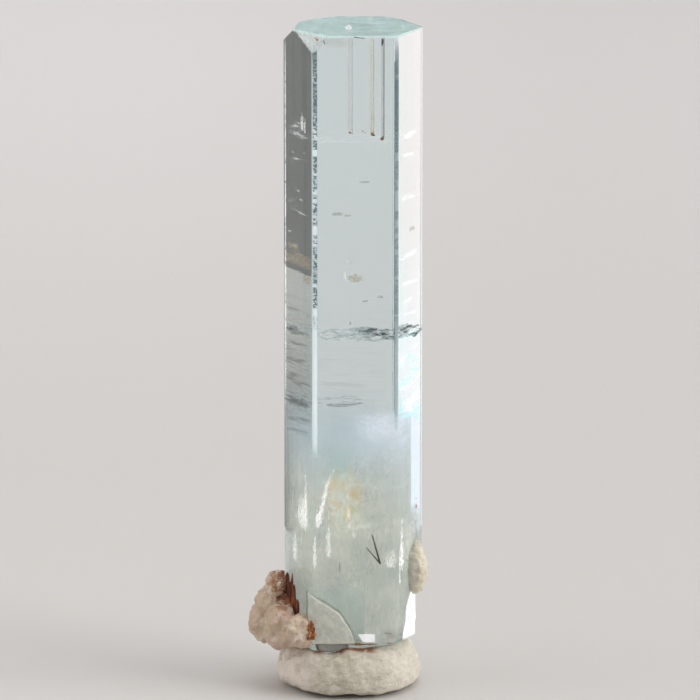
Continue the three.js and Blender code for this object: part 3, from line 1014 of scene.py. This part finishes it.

# %% [markdown]
# ## Ladders on the narrow faces
#
# The two narrow faces at the front grew in fine level steps, so each shows a ladder of dark and
# bright rungs. A strip of glowing film just behind each face carries the rungs as painted shade
# and painted light. The left ladder is the bright one: here and there a gap without rungs shines,
# and a painted highlight runs down its left side as a light line. The right ladder stays dark.

# %% Model the ladders
DARK_RUNG, BRIGHT_RUNG = colour(80, 110, 116), colour(242, 252, 254)
LADDERS = (("left_ladder", (-2.81, 0.17, 16.1, 0.46, 29.8, -30), 1.0, 1.0),
           ("right_ladder", (3.04, 0.14, 14.7, 0.35, 28.6, 30), 0.12, 0.0))
for name, place, bright, highlight_line in LADDERS:
    sheet = named(patch(*place, rough=0.02), name)
    rung = film_finish(name, Emission_Strength=0.42)
    right, up = own_map(rung)
    steps = rung.noise(0.14 * MM, 3.0, 0.6, stretch=(1.8, 1.8, 1)).ramp(0.46, 0.56)
    groups = rung.noise(0.8 * MM, 3.0, 0.6, stretch=(5, 5, 1), shift=2.0).ramp(0.42, 0.6)
    gaps = rung.noise(1.0 * MM, 2.0, 0.5, stretch=(9, 9, 1), shift=4.0).ramp(0.565, 0.61)
    upper = rung.down.ramp(6.9, 6.3)
    last_bright = rung.down.ramp(19.5, 22.0) * (0.85 + 0.15 * steps)
    glint = (steps * (0.55 + 0.55 * groups)).larger(gaps * 0.95) * (1.0 - upper * 0.5)
    glint = glint.larger(last_bright) * bright + 0.05
    dull = gaps * 0.1 + rung.down.ramp(6, 12) * 0.13 + rung.down.ramp(20, 24) * 0.16
    shade = rung.blend(glint + dull * (1 - bright), DARK_RUNG, BRIGHT_RUNG)
    # The light line down the left ladder's left side is a painted highlight.
    shade = rung.blend(right.ramp(-0.38, -0.55) * highlight_line * 0.85, shade, colour(216, 226, 226))
    rung.set(Base_Color=shade, Emission_Color=shade,
             Alpha=(1.0 - right ** 2.0).ramp(0.0, 0.3) * (1.0 - up ** 20.0) * 0.9)
    finished(sheet, rung, "cleaved_base")

# %% [markdown]
# The sharp left edge is worn by a hair's breadth, and catches the light all the way down. Worn
# glass of that width would be lost in the view, so a bright, broken line of film stands for it.

# %% Model the worn left edge
edge_line = named(patch(-4.915, 3.52, 14.0, 0.15, 26.5, ON_LEFT, rough=0.01), "edge_glint")
glint = film_finish("edge_glint", Emission_Color=(1, 1, 1, 1), Emission_Strength=0.55)
right, up = own_map(glint)
worn = glint.noise(0.5 * MM, 4.0, 0.7).ramp(0.32, 0.55)
glint.set(Alpha=worn * (1.0 - up ** 8.0) * 0.8, Base_Color=colour(244, 248, 244))
finished(edge_line, glint, "pale_feldspar")

# %% [markdown]
# ## Marks between the two cracks
#
# Here the left face is crossed by slanting growth steps, half dark and half bright, and the
# front face by the same steps, much fainter. The dark and the bright are painted shade and
# painted light, on a film that glows a little. The noise is turned by a few degrees before it is
# drawn out sideways, which makes the steps slant.

# %% Model the growth steps
for name, place, tilt, strength in (
        ("left_slants", (-3.95, 2.05, 25.4, 3.6, 12.0, ON_LEFT), -7, 0.55),
        ("front_slants", (-0.2, 0.4, 25.4, 5.2, 6.0), 2, 0.1)):
    sheet = named(patch(*place), name)
    slant = film_finish(name, Emission_Strength=0.2)
    threads = slant.noise(0.42 * MM, 3.0, 0.6, stretch=(12, 12, 1), tilt=tilt)
    light = threads.ramp(0.54, 0.66) * 0.8
    shade = slant.blend(light, colour(84, 94, 96), colour(228, 238, 238))
    slant.set(Base_Color=shade, Emission_Color=shade,
              Alpha=threads.ramp(0.52, 0.34).larger(light) * fade(*own_map(slant), 8.0, 4.0)
              * strength)
    finished(sheet, slant, "cleaved_base")

# %% [markdown]
# Where the lower crack meets the left face it is thick with dark, mottled dust.

# %% Model the mottles of the lower crack
mottles = named(patch(-3.95, 2.05, 27.3, 3.5, 1.1, ON_LEFT), "crack_mottles")
mottle = film_finish("mottle")
blotches = mottle.noise(0.22 * MM, 4.0, 0.65, stretch=(3, 3, 1))
mottle.set(Alpha=(blotches * 1.4 + fade(*own_map(mottle), 6.0) * 0.5).ramp(0.95, 1.35) * 0.75,
           Base_Color=mottle.blend(blotches.ramp(0.5, 0.6), colour(70, 98, 98),
                                   colour(150, 168, 166)))
finished(mottles, mottle, "cleaved_base")

# %% [markdown]
# A hair-thin crack behind the right face splits the light into pale blue and pink. Real colours
# of that kind come from the crack's thickness, which would take far too long to trace, so broad
# slanting bands of both tints are laid on a film.

# %% Model the rainbow on the right
rainbow = named(patch(3.95, 1.75, 26.0, 3.4, 8.4, ON_RIGHT), "rainbow_crack")
tints = film_finish("rainbow", Emission_Strength=0.75)
bands = tints.noise(1.1 * MM, 1.0, 0.5, stretch=(2, 2, 0.7), tilt=-8)
shade = tints.blend(bands.ramp(0.42, 0.58), colour(176, 244, 255), colour(252, 238, 255))
islands = tints.noise(1.2 * MM, 2.0, 0.5, stretch=(2, 2, 0.6), shift=4.0).ramp(0.42, 0.62)
tints.set(Base_Color=shade, Emission_Color=shade,
          Alpha=islands * fade(*own_map(tints), 6.0, 4.0) * 0.45)
finished(rainbow, tints, "cleaved_base")

# %% [markdown]
# ## Soft glows
#
# In a few places the stone is softly tinted: a lavender painted highlight where the cloud begins
# on the right, teal at its left, pale behind the right face, grey under the cleaved corner, and
# olive brown at the foot. Each tint is a broad patch that glows, painted light, and fades evenly
# from its middle.

# %% Model the soft glows
# The two lavender patches are a painted highlight, and every patch here glows: painted light.
GLOWS = {
    "lavender_highlight": ((2.0, 1.8, 29.8, 5.0, 5.4), colour(228, 232, 238), 0.5, 1.7),
    "lavender_highlight_band": ((1.8, 1.0, 28.7, 4.2, 2.6), colour(228, 231, 240), 0.52, 1.4),
    "teal": ((-0.95, 0.6, 31.6, 2.4, 3.0), colour(160, 208, 200), 0.3, 2.0),
    "corner": ((-1.4, 0.3, 0.52, 3.8, 0.9), colour(206, 206, 196), 0.2, 2.2),
    "right_haze": ((3.9, 1.6, 38.6, 2.6, 5.6, ON_RIGHT), colour(222, 225, 218), 0.45, 1.8),
    "olive_foot": ((-1.55, 0.2, 44.9, 2.5, 1.1), colour(122, 90, 56), 0.1, 0.25),
}
for name, (place, shade, strength, soft) in GLOWS.items():
    sheet = named(patch(*place), name + "_glow")
    glow = film_finish(name, Emission_Strength=strength, Emission_Color=shade, Base_Color=shade)
    cloudy = glow.noise(0.7 * MM, 3.0, 0.6)
    glow.set(Alpha=(fade(*own_map(glow)) * (0.4 + cloudy)).ramp(0.0, soft) * 0.85)
    finished(sheet, glow, "cleaved_base")

# %% [markdown]
# ## Windows at the foot
#
# At the lower right the foot is clear and shows the bright room behind, and one small spot at
# the front mirrors the lights. Both windows are glowing white films, painted light for the room
# and a painted reflection at the front, each with one ragged, slanting border.

# %% Model the windows
# The right window is painted light for the room behind, and the foot window a painted reflection.
WINDOWS = (("right_window", (3.95, 1.5, 42.4, 2.0, 4.6, ON_RIGHT), 0.9, 1.4, 0.35, 0.62),
           ("foot_painted_reflection", (0.9, 0.1, 44.36, 1.3, 0.62), -0.4, 0.3, 0.95, 0.45))
for name, place, lean, rag, reach, strength in WINDOWS:
    sheet = named(patch(*place), name)
    clear = film_finish(name, Emission_Strength=strength, Emission_Color=(0.98, 0.97, 1, 1))
    right, up = own_map(clear)
    ragged = clear.noise(0.4 * MM, 4.0, 0.65, stretch=(1, 1, 2.5))
    slope = right * 1.1 - up * lean + (ragged - 0.5) * rag + reach
    clear.set(Alpha=slope.ramp(0.0, 0.35) * fade(right, up, 12.0, 20.0) * 0.92,
              Base_Color=colour(248, 248, 252))
    finished(sheet, clear, "cleaved_base")

# %% [markdown]
# ## Stains and splinters
#
# Tan stains lie behind the left face, and a few small ones elsewhere. They are patches again,
# warmer on the left than on the front, with level threads, and they glow faintly: painted light.

# %% Model the stains
stains = patches(
    "stains",
    (-4.0, 2.2, 16.7, 4.6, 1.3, ON_LEFT), (-4.3, 2.7, 15.9, 1.9, 0.8, ON_LEFT),
    (-3.3, 1.0, 18.0, 1.2, 0.9, ON_LEFT), (4.1, 2.0, 14.43, 0.9, 0.5, ON_RIGHT),
    (0.73, 1.0, 10.75, 0.9, 0.22), (-1.2, 1.0, 13.09, 0.9, 0.35), (-0.48, 1.0, 13.2, 0.6, 0.22),
    (0.8, 1.0, 19.47, 0.5, 0.2), (1.87, 1.0, 19.17, 0.5, 0.2), (-0.27, 1.0, 21.1, 0.2, 0.4))
tan = film_finish("tan_stain", Emission_Color=colour(200, 186, 160), Emission_Strength=0.15)
inside = fade(*own_map(tan), 4.0)
threads = tan.noise(0.3 * MM, 4.0, 0.6, stretch=(4, 4, 1))
tan.set(Alpha=((threads + inside * 0.5).ramp(0.6, 1.0) * inside.ramp(0, 0.4)) * 0.55,
        Base_Color=tan.blend(tan.across.ramp(-2.6, -2.0), colour(206, 188, 156),
                             colour(178, 186, 172)))
finished(stains, tan, "feldspar")

# %% [markdown]
# White splinters stand among the tufts, and two lie flat under the top as one pale spot. They
# have real edges, so they are flakes and not patches. They glow a little, painted light.

# %% Model the splinters
TUFT_SPLINTERS = ((-1.95, 0.3, 33.4, 0.9, -0.2), (-2.15, 0.3, 34.0, 1.0, -0.25),
                  (-2.4, 0.3, 34.8, 1.0, -0.25), (-1.86, 0.4, 36.2, 1.9, 0.12),
                  (-2.75, 0.3, 36.8, 1.4, -0.05), (-3.9, 2.0, 34.6, 1.6, -0.1),
                  (-3.6, 1.5, 34.9, 1.4, 0.05), (3.36, 0.65, 37.0, 1.8, 0.02))
splinters = [((across, deep, down), (across + lean, deep, down + tall), 0.14,
              FRONT if across > -3 else LEFT) for across, deep, down, tall, lean in TUFT_SPLINTERS]
splinters += [((-3.66, 1.6, 6.1), (-3.62, 1.5, 7.2), 0.10, LEFT),
              ((-0.66, 1.0, 17.4), (-0.6, 1.0, 18.1), 0.12, FRONT),
              ((-0.68, 3.1, 0.1), (-0.13, 3.1, 0.1), 1.7, UP),
              ((-0.58, 3.0, 0.07), (-0.2, 3.0, 0.07), 1.2, UP)]
flecks = [flake(spot(*start), spot(*end), width * MM, facing, 0.02 * MM, seed)
          for seed, (start, end, width, facing) in enumerate(splinters, start=1)]
white_flecks = join(flecks, "white_flecks")
white = film_finish("fleck", Emission_Color=(1, 1, 1, 1), Emission_Strength=0.3)
broken = white.noise(0.18 * MM, 3.0, stretch=(1, 1, 3)).ramp(0.38, 0.55)
white.set(Base_Color=colour(245, 248, 248), Alpha=broken * 0.85)
finished(white_flecks, white, "pale_feldspar")

# %% [markdown]
# ## The stained patch
#
# Iron crept into a rough pocket behind the front face and left it beige and orange. It is one
# crumpled upright sheet with a ragged, cloudy edge: its alpha is high in an oval, and noise
# moves the oval's border in and out. The sheet glows a little, painted light.

# %% Model the stained patch
def upright_sheet(name, across, deep, down, width, height, blotch, rough):
    """A crumpled upright sheet facing the front."""
    return smooth(rumpled_grid(name, (40, 60), (width, height), spot(across, deep, down),
                               (90, 0, 0), blotch, rough, "Y", 4))


stained_patch = upright_sheet("stained_patch", -0.6, 1.0, 34.2, 4.4, 7.0, 0.8, 1.0)
stain = film_finish("stain", Emission_Strength=0.36)
ragged = stain.noise(0.8 * MM, 5.0, 0.65, stretch=(1, 1, 1.6))
sideways = (stain.across + 0.65) ** 2.0 * 0.42
upward = (stain.down - 34.1) ** 2.0 * 0.13
body = (1.0 - sideways - upward + (ragged - 0.5) * 1.6).ramp(0.0, 0.6)
flecked = stain.noise(0.6 * MM, 4.0, 0.65, stretch=(1.2, 1, 1.2), shift=5.0).ramp(0.48, 0.6)
warm = stain.blend(stain.noise(0.45 * MM, 3.0, shift=2.0).ramp(0.5, 0.64),
                   colour(224, 212, 176), colour(228, 194, 140))
shade = stain.blend(flecked * 0.85, warm, colour(226, 236, 234))
stain.set(Base_Color=shade, Emission_Color=shade, Alpha=body * 0.85)
finished(stained_patch, stain, "feldspar")

# %% [markdown]
# A small beige smudge floats in the clear part above the upper crack. It is made the same way,
# and glows a little too, painted light.

# %% Model the beige smudge
blob = upright_sheet("beige_blob", 0.05, 1.0, 17.75, 1.7, 1.0, 0.3, 0.4)
smudge = film_finish("smudge", Emission_Color=colour(206, 200, 180), Emission_Strength=0.3)
ragged = smudge.noise(0.25 * MM, 4.0, 0.6)
sideways = (smudge.across - 0.05) ** 2.0 * 2.0
upward = (smudge.down - 17.8) ** 2.0 * 7.0
smudge.set(Base_Color=smudge.blend(ragged.ramp(0.4, 0.6), colour(214, 210, 192),
                                   colour(196, 188, 162)),
           Alpha=(1.0 - sideways - upward + (ragged - 0.5) * 2.0).ramp(0.2, 0.8) * 0.75)
finished(blob, smudge, "feldspar")

# %% [markdown]
# ## The feldspar cluster
#
# Where the crystal broke from its matrix a lump of feldspar still holds on. Separate balls
# would show as balls, so its grains are joined and remeshed into one skin. Such a lump never
# comes out exactly as large as the frame's piece, so it is stretched to that piece's box.

# %% Helpers for matrix pieces
def remeshed(piece, voxel):
    """Gives the piece one even skin of small squares, voxel millimetres across."""
    return apply_modifier(piece, "REMESH", mode="VOXEL", voxel_size=voxel * MM)


def lumps(name, grains, voxel):
    """Overlapping rounded grains joined in one skin. Each is centre and half size, in mm."""
    pieces = [primitive(bpy.ops.mesh.primitive_ico_sphere_add, "grain", Vector(at) * MM,
                        scale=Vector(half) * MM, subdivisions=4, radius=1)
              for at, half in grains]
    return remeshed(join(pieces, name), voxel)


def fit_to_box(piece, *nodes):
    """Stretches and moves the piece so that it just fills the box of the frame's nodes."""
    boxes = [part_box(node) for node in nodes]
    points = [vertex.co for vertex in piece.data.vertices]
    stretch, middle, move = Vector(), Vector(), Vector()
    for axis in range(3):
        low, high = min(box[0][axis] for box in boxes), max(box[1][axis] for box in boxes)
        least, most = min(p[axis] for p in points), max(p[axis] for p in points)
        stretch[axis] = (high - low) * 0.999 / (most - least)
        middle[axis] = (least + most) / 2
        move[axis] = (low + high) / 2 - middle[axis]
    with editing(piece, "VERT"):
        bpy.ops.transform.resize(value=stretch, center_override=middle)
        bpy.ops.transform.translate(value=move)
    return piece


# %% [markdown]
# Eleven grains make the cluster. It is roughened in three sizes, the way a crumbly stone is, and
# remeshed once more before the finest, which needs small squares. Then the crystal's own shape
# is cut out of it, so that the two touch.

# %% Model the feldspar cluster
GRAINS = (
    ((-5.35, -0.7, 7.6), (0.8, 1.1, 0.95)), ((-5.0, 0.9, 6.7), (1.1, 1.2, 1.45)),
    ((-6.0, -0.4, 6.2), (0.95, 1.4, 1.0)), ((-6.35, -0.5, 4.75), (1.05, 1.6, 1.25)),
    ((-5.9, -0.6, 3.95), (1.1, 1.5, 0.85)), ((-5.0, -1.9, 5.0), (1.25, 1.3, 1.45)),
    ((-3.7, -3.05, 4.7), (1.3, 0.95, 1.1)), ((-3.4, -3.3, 4.2), (0.85, 0.65, 0.95)),
    ((-4.6, -2.2, 3.95), (1.5, 1.4, 0.9)), ((-4.9, 2.0, 4.9), (1.25, 1.1, 1.5)),
    ((-4.8, -0.5, 5.4), (1.5, 1.8, 1.6)))
cluster = lumps("feldspar_lump", GRAINS, 0.11)
rumple(cluster, 1.0 * MM, 0.7 * MM)
rumple(cluster, 0.4 * MM, 0.45 * MM)
remeshed(cluster, 0.08)
rumple(cluster, 0.2 * MM, 0.12 * MM)
fit_to_box(cluster, "feldspar_cluster", "rust_nodule")
smooth(cut_out(cluster, keep_out))
print("cluster:", len(GRAINS), "grains in one skin")

# %% [markdown]
# Fresh feldspar is pinkish beige with paler grains. Rust has soaked into its upper part, deepest
# beside the iron blades, so a mask of place is mixed with noise before the brown is let in.

# %% Give the cluster its finish
feldspar = Finish("feldspar", Roughness=0.75)
grain = feldspar.noise(0.9 * MM, 4.0, 0.6)
pink = feldspar.noise(1.4 * MM, 3.0, shift=3.0).ramp(0.45, 0.65)
body = feldspar.blend(pink, colour(208, 188, 164), colour(210, 182, 168))
body = feldspar.blend(grain.ramp(0.5, 0.7), body, colour(232, 220, 206))
high_up = feldspar.z.ramp(4.6 * MM, 6.6 * MM)
by_blades = feldspar.x.ramp(-6.6 * MM, -5.0 * MM) * feldspar.z.ramp(5.2 * MM, 6.8 * MM)
rusty = feldspar.noise(0.6 * MM, 5.0, 0.75, shift=9.0) + 0.12 * by_blades
rusty = rusty.ramp(0.55, 0.64) * high_up
rusty = rusty.larger(feldspar.noise(0.4 * MM, 3.0, shift=6.0).ramp(0.66, 0.72) * 0.7)
brown = feldspar.blend(by_blades, colour(212, 176, 140), colour(150, 94, 66))
feldspar.set(Base_Color=feldspar.blend(rusty, body, brown))
feldspar.bump(feldspar.noise(0.12 * MM, 5.0, 0.7), 0.08 * MM)
finished(cluster, feldspar, "feldspar", "feldspar_cluster")

# %% [markdown]
# ## The feldspar chip
#
# A cream chip sits in the right edge like a thin lens. It is the frame's shape, remeshed so
# that it can be rounded and roughened. The half of it inside the stone is then widened, so that
# it reaches well in.

# %% Model the chip
chip = copy_of_node("feldspar_chip", "feldspar_chip_skin")
chip_low, chip_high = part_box("feldspar_chip")
chip_middle = (chip_low.x + chip_high.x) / 2
remeshed(chip, 0.07)
rumple(chip, 0.5 * MM, 0.12 * MM)
rumple(chip, 0.16 * MM, 0.15 * MM)
fit_to_box(chip, "feldspar_chip")
with editing(chip, "VERT"):
    pick(chip, lambda vertex: vertex.co.x < chip_middle, "verts")
    bpy.ops.transform.resize(value=(1.7, 1, 1), center_override=(chip_middle, 0, 0))
smooth(chip)
pale = Finish("pale_feldspar", Roughness=0.7)
spots = pale.noise(0.35 * MM, 4.0, 0.6)
body = pale.blend(spots.ramp(0.4, 0.65), colour(226, 220, 203), colour(208, 198, 174))
body = pale.blend(pale.x.ramp(5.0 * MM, 4.3 * MM) * 0.8, body, colour(196, 200, 186))
tan = pale.noise(0.25 * MM, 3.0, shift=4.0).ramp(0.66, 0.72) * pale.x.ramp(5.0 * MM, 5.5 * MM)
pale.set(Base_Color=pale.blend(tan, body, colour(168, 124, 84)))
pale.bump(spots, 0.05 * MM)
finished(chip, pale, "pale_feldspar", "feldspar_chip")

# %% [markdown]
# ## The cleaved fragment
#
# A waxy slab of paler, cloudier beryl is still stuck to the lower left of the front face. Light
# is soon lost in it, so it is given an opaque, softly shining finish, mottled in two greys.

# %% Model the fragment
fragment = remeshed(copy_of_node("cleaved_fragment", "beryl_fragment"), 0.06)
rumple(fragment, 0.7 * MM, 0.10 * MM)
smooth(fit_to_box(fragment, "cleaved_fragment"))
waxy = Finish("cloudy_beryl", Roughness=0.35)
mottle = waxy.noise(0.6 * MM, 4.0, 0.6)
body = waxy.blend(mottle.ramp(0.35, 0.65), colour(189, 194, 184), colour(209, 211, 200))
specks = waxy.noise(0.3 * MM, 3.0, shift=5.0).ramp(0.68, 0.74)
waxy.set(Base_Color=waxy.blend(specks, body, colour(164, 130, 96)))
waxy.bump(mottle, 0.05 * MM)
finished(fragment, waxy, "cleaved_base", "cleaved_fragment")

# %% [markdown]
# ## The iron crust
#
# Dark red iron oxide stands on the lower left face in narrow upright blades. A single ribbed
# shape would look carved, so a row of flakes is laid along the face from left to right, each
# with its own width and height, taller right of the middle, and the row is stretched to the box
# of the frame's crust.

# %% Model the iron crust
BLADES = 34
blades = []
chance = random.Random(23)
crust_low, crust_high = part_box("iron_crust")
for index in range(BLADES):
    right = index / (BLADES - 1)
    x = crust_low.x + right * (crust_high.x - crust_low.x)
    y = front_y + (1 - right) * 2.45 * MM + 0.4 * MM - chance.uniform(0.1, 0.5) * MM
    low = crust_low.z + (1.1 - 1.0 * right + chance.uniform(0, 0.6)) * MM
    tuft = 1.5 if 0.45 < right < 0.85 else 0.4
    high = low + (0.9 + tuft * chance.uniform(0.4, 1.0)) * MM
    blades.append(flake(Vector((x, y, low)), Vector((x, y, high)),
                        chance.uniform(0.14, 0.3) * MM, LEFT, 0.22 * MM, index))
crust = fit_to_box(join(blades, "iron_blades"), "iron_crust")
maroon = Finish("iron_oxide", Roughness=0.7)
grain = maroon.noise(0.16 * MM, 4.0, 0.6, stretch=(1, 1, 3))
orange = maroon.noise(0.4 * MM, 3.0, shift=3.0).ramp(0.5, 0.7) * maroon.z.ramp(7.2 * MM, 6.0 * MM)
body = maroon.blend(grain.ramp(0.35, 0.65), colour(84, 44, 34), colour(144, 84, 58))
maroon.set(Base_Color=maroon.blend(orange, body, colour(190, 114, 50)))
maroon.bump(grain, 0.05 * MM)
finished(crust, maroon, "iron_crust", "iron_crust")

# %% [markdown]
# ## The rusty lump
#
# A lump of soft rust is wedged between the cluster and the fragment. Four grains in one skin
# make it, roughened in two sizes like the cluster.

# %% Model the rusty lump
nodule = lumps("rusty_lump", (
    ((-2.86, -3.8, 5.3), (0.26, 0.25, 0.34)), ((-2.8, -3.85, 4.95), (0.3, 0.28, 0.4)),
    ((-2.78, -3.85, 4.6), (0.32, 0.3, 0.36)), ((-2.98, -3.8, 4.45), (0.2, 0.2, 0.24))), 0.05)
rumple(nodule, 0.25 * MM, 0.24 * MM)
rumple(nodule, 0.1 * MM, 0.1 * MM)
fit_to_box(nodule, "rust_nodule")
rust = Finish("nodule_rust", Roughness=0.85)
grain = rust.noise(0.25 * MM, 4.0, 0.65)
body = rust.blend(grain.ramp(0.4, 0.6), colour(92, 52, 30), colour(180, 114, 60))
dusty = rust.noise(0.3 * MM, 3.0, shift=4.0).ramp(0.58, 0.66)
rust.set(Base_Color=rust.blend(dusty, body, colour(206, 180, 150)))
rust.bump(grain, 0.06 * MM)
finished(nodule, rust, "rust", "rust_nodule")

# %% [markdown]
# ## The putty
#
# A ball of cream putty was pressed on the table and the stone pushed into it. Its outline is
# drawn out ring by ring, then its skin is pushed in and out by soft lumps, as fingers leave it.
# The stone's own shape is cut out of it, and a small hollow at the front shows the stone's foot.

# %% Model the putty
PUTTY_FOOT = 4.6
RINGS = ((5.02, 0.28), (5.2, 0.8), (5.18, 1.5), (5.04, 2.2), (4.78, 2.8), (4.35, 3.35),
         (3.85, 3.68), (3.2, 3.8), (2.2, 3.78), (1.0, 3.75))
DENT = (((-1.35, -4.4, 4.2), (1.2, 1.6, 1.15)), ((-1.0, -4.6, 4.1), (0.95, 1.4, 1.0)))
putty = primitive(bpy.ops.mesh.primitive_circle_add, "putty", vertices=96,
                  radius=PUTTY_FOOT * MM, fill_type="NGON")
with editing(putty, "EDGE"):
    bpy.ops.mesh.region_to_loop()
    radius, height = PUTTY_FOOT, 0.0
    for next_radius, next_height in RINGS:
        grow = next_radius / radius
        bpy.ops.mesh.extrude_edges_move()
        bpy.ops.transform.resize(value=(grow, grow, 1), center_override=(0, 0, 0))
        bpy.ops.transform.translate(value=(0, 0, (next_height - height) * MM))
        radius, height = next_radius, next_height
    bpy.ops.mesh.edge_face_add()
    bpy.ops.mesh.select_all(action="SELECT")
    bpy.ops.mesh.normals_make_consistent(inside=False)
remeshed(putty, 0.11)
rumple(putty, 2.6 * MM, 0.6 * MM)
rumple(putty, 0.8 * MM, 0.2 * MM)
hollow = lumps("hollow", DENT, 0.12)
cut_out(putty, hollow)
fit_to_box(putty, "display_putty")
cut_out(putty, keep_out)
with editing(putty):
    pick(putty, lambda face: face.calc_center_median().z < 0.12 * MM)
    bpy.ops.transform.resize(value=(1, 1, 0), center_override=(0, 0, 0))
smooth(putty)
bpy.data.objects.remove(hollow)
bpy.data.objects.remove(keep_out)
print("putty:", len(RINGS), "rings high, with room for the crystal")

# %% [markdown]
# The putty is two creams marbled together, with darker specks. Its sides are painted paler: a
# pinkish painted highlight on the left and painted light on the right.
# Along the rim where the stone stands, the putty is darkened brown in patches.

# %% Give the putty its finish
cream = Finish("putty", Roughness=0.8)
marbling = cream.noise(1.6 * MM, 5.0, 0.6, stretch=(1.2, 1.2, 0.8))
threads = cream.noise(0.3 * MM, 5.0, 0.75, stretch=(1.3, 1.3, 0.8), shift=3.0)
body = cream.blend(marbling.ramp(0.35, 0.65), colour(184, 176, 157), colour(205, 197, 181))
body = cream.blend(threads.ramp(0.35, 0.75) * 0.7, body, colour(240, 234, 220))
# Painted highlight on the left side and painted light on the right: the sides are blended paler.
left_painted_highlight = cream.x.ramp(-2.0 * MM, -4.0 * MM) * cream.noise(1.0 * MM, 3.0, shift=5.0).ramp(0.3, 0.55)
body = cream.blend(left_painted_highlight * 0.9, body, colour(248, 236, 226))
body = cream.blend(cream.x.ramp(1.5 * MM, 4.5 * MM) * 0.45, body, colour(246, 240, 226))
specks = cream.noise(0.22 * MM, 2.0, shift=8.0).ramp(0.7, 0.76)
body = cream.blend(specks * 0.7, body, colour(140, 128, 104))
# The rim is darkened brown in patches.
rim = cream.z.ramp(2.95 * MM, 3.3 * MM) * cream.x.ramp(-2.9 * MM, -2.5 * MM)
rim = rim * cream.x.ramp(2.2 * MM, 1.4 * MM) * cream.y.ramp(-4.1 * MM, -3.7 * MM)
rim_brown = rim * cream.noise(0.5 * MM, 4.0, shift=2.0).ramp(0.28, 0.46)
cream.set(Base_Color=cream.blend(rim_brown, body, colour(124, 72, 44)))
cream.bump(threads + cream.noise(0.15 * MM, 3.0) * 0.5, 0.12 * MM)
finished(putty, cream, "putty", "display_putty")

# %% [markdown]
# ## Enough bounces
#
# A ray that enters the top may bounce from face to face all the way down, and one through the
# foot meets a dozen films. Both limits are raised so that such rays aren't cut short to black.

# %% Let light pass through all the layers
INSIDE_STONE, THROUGH_FILMS = 24, 48
scene.cycles.max_bounces = INSIDE_STONE
scene.cycles.transmission_bounces = INSIDE_STONE
scene.cycles.glossy_bounces = INSIDE_STONE // 2
scene.cycles.transparent_max_bounces = THROUGH_FILMS
print("a ray may bounce", INSIDE_STONE, "times and pass", THROUGH_FILMS, "films")
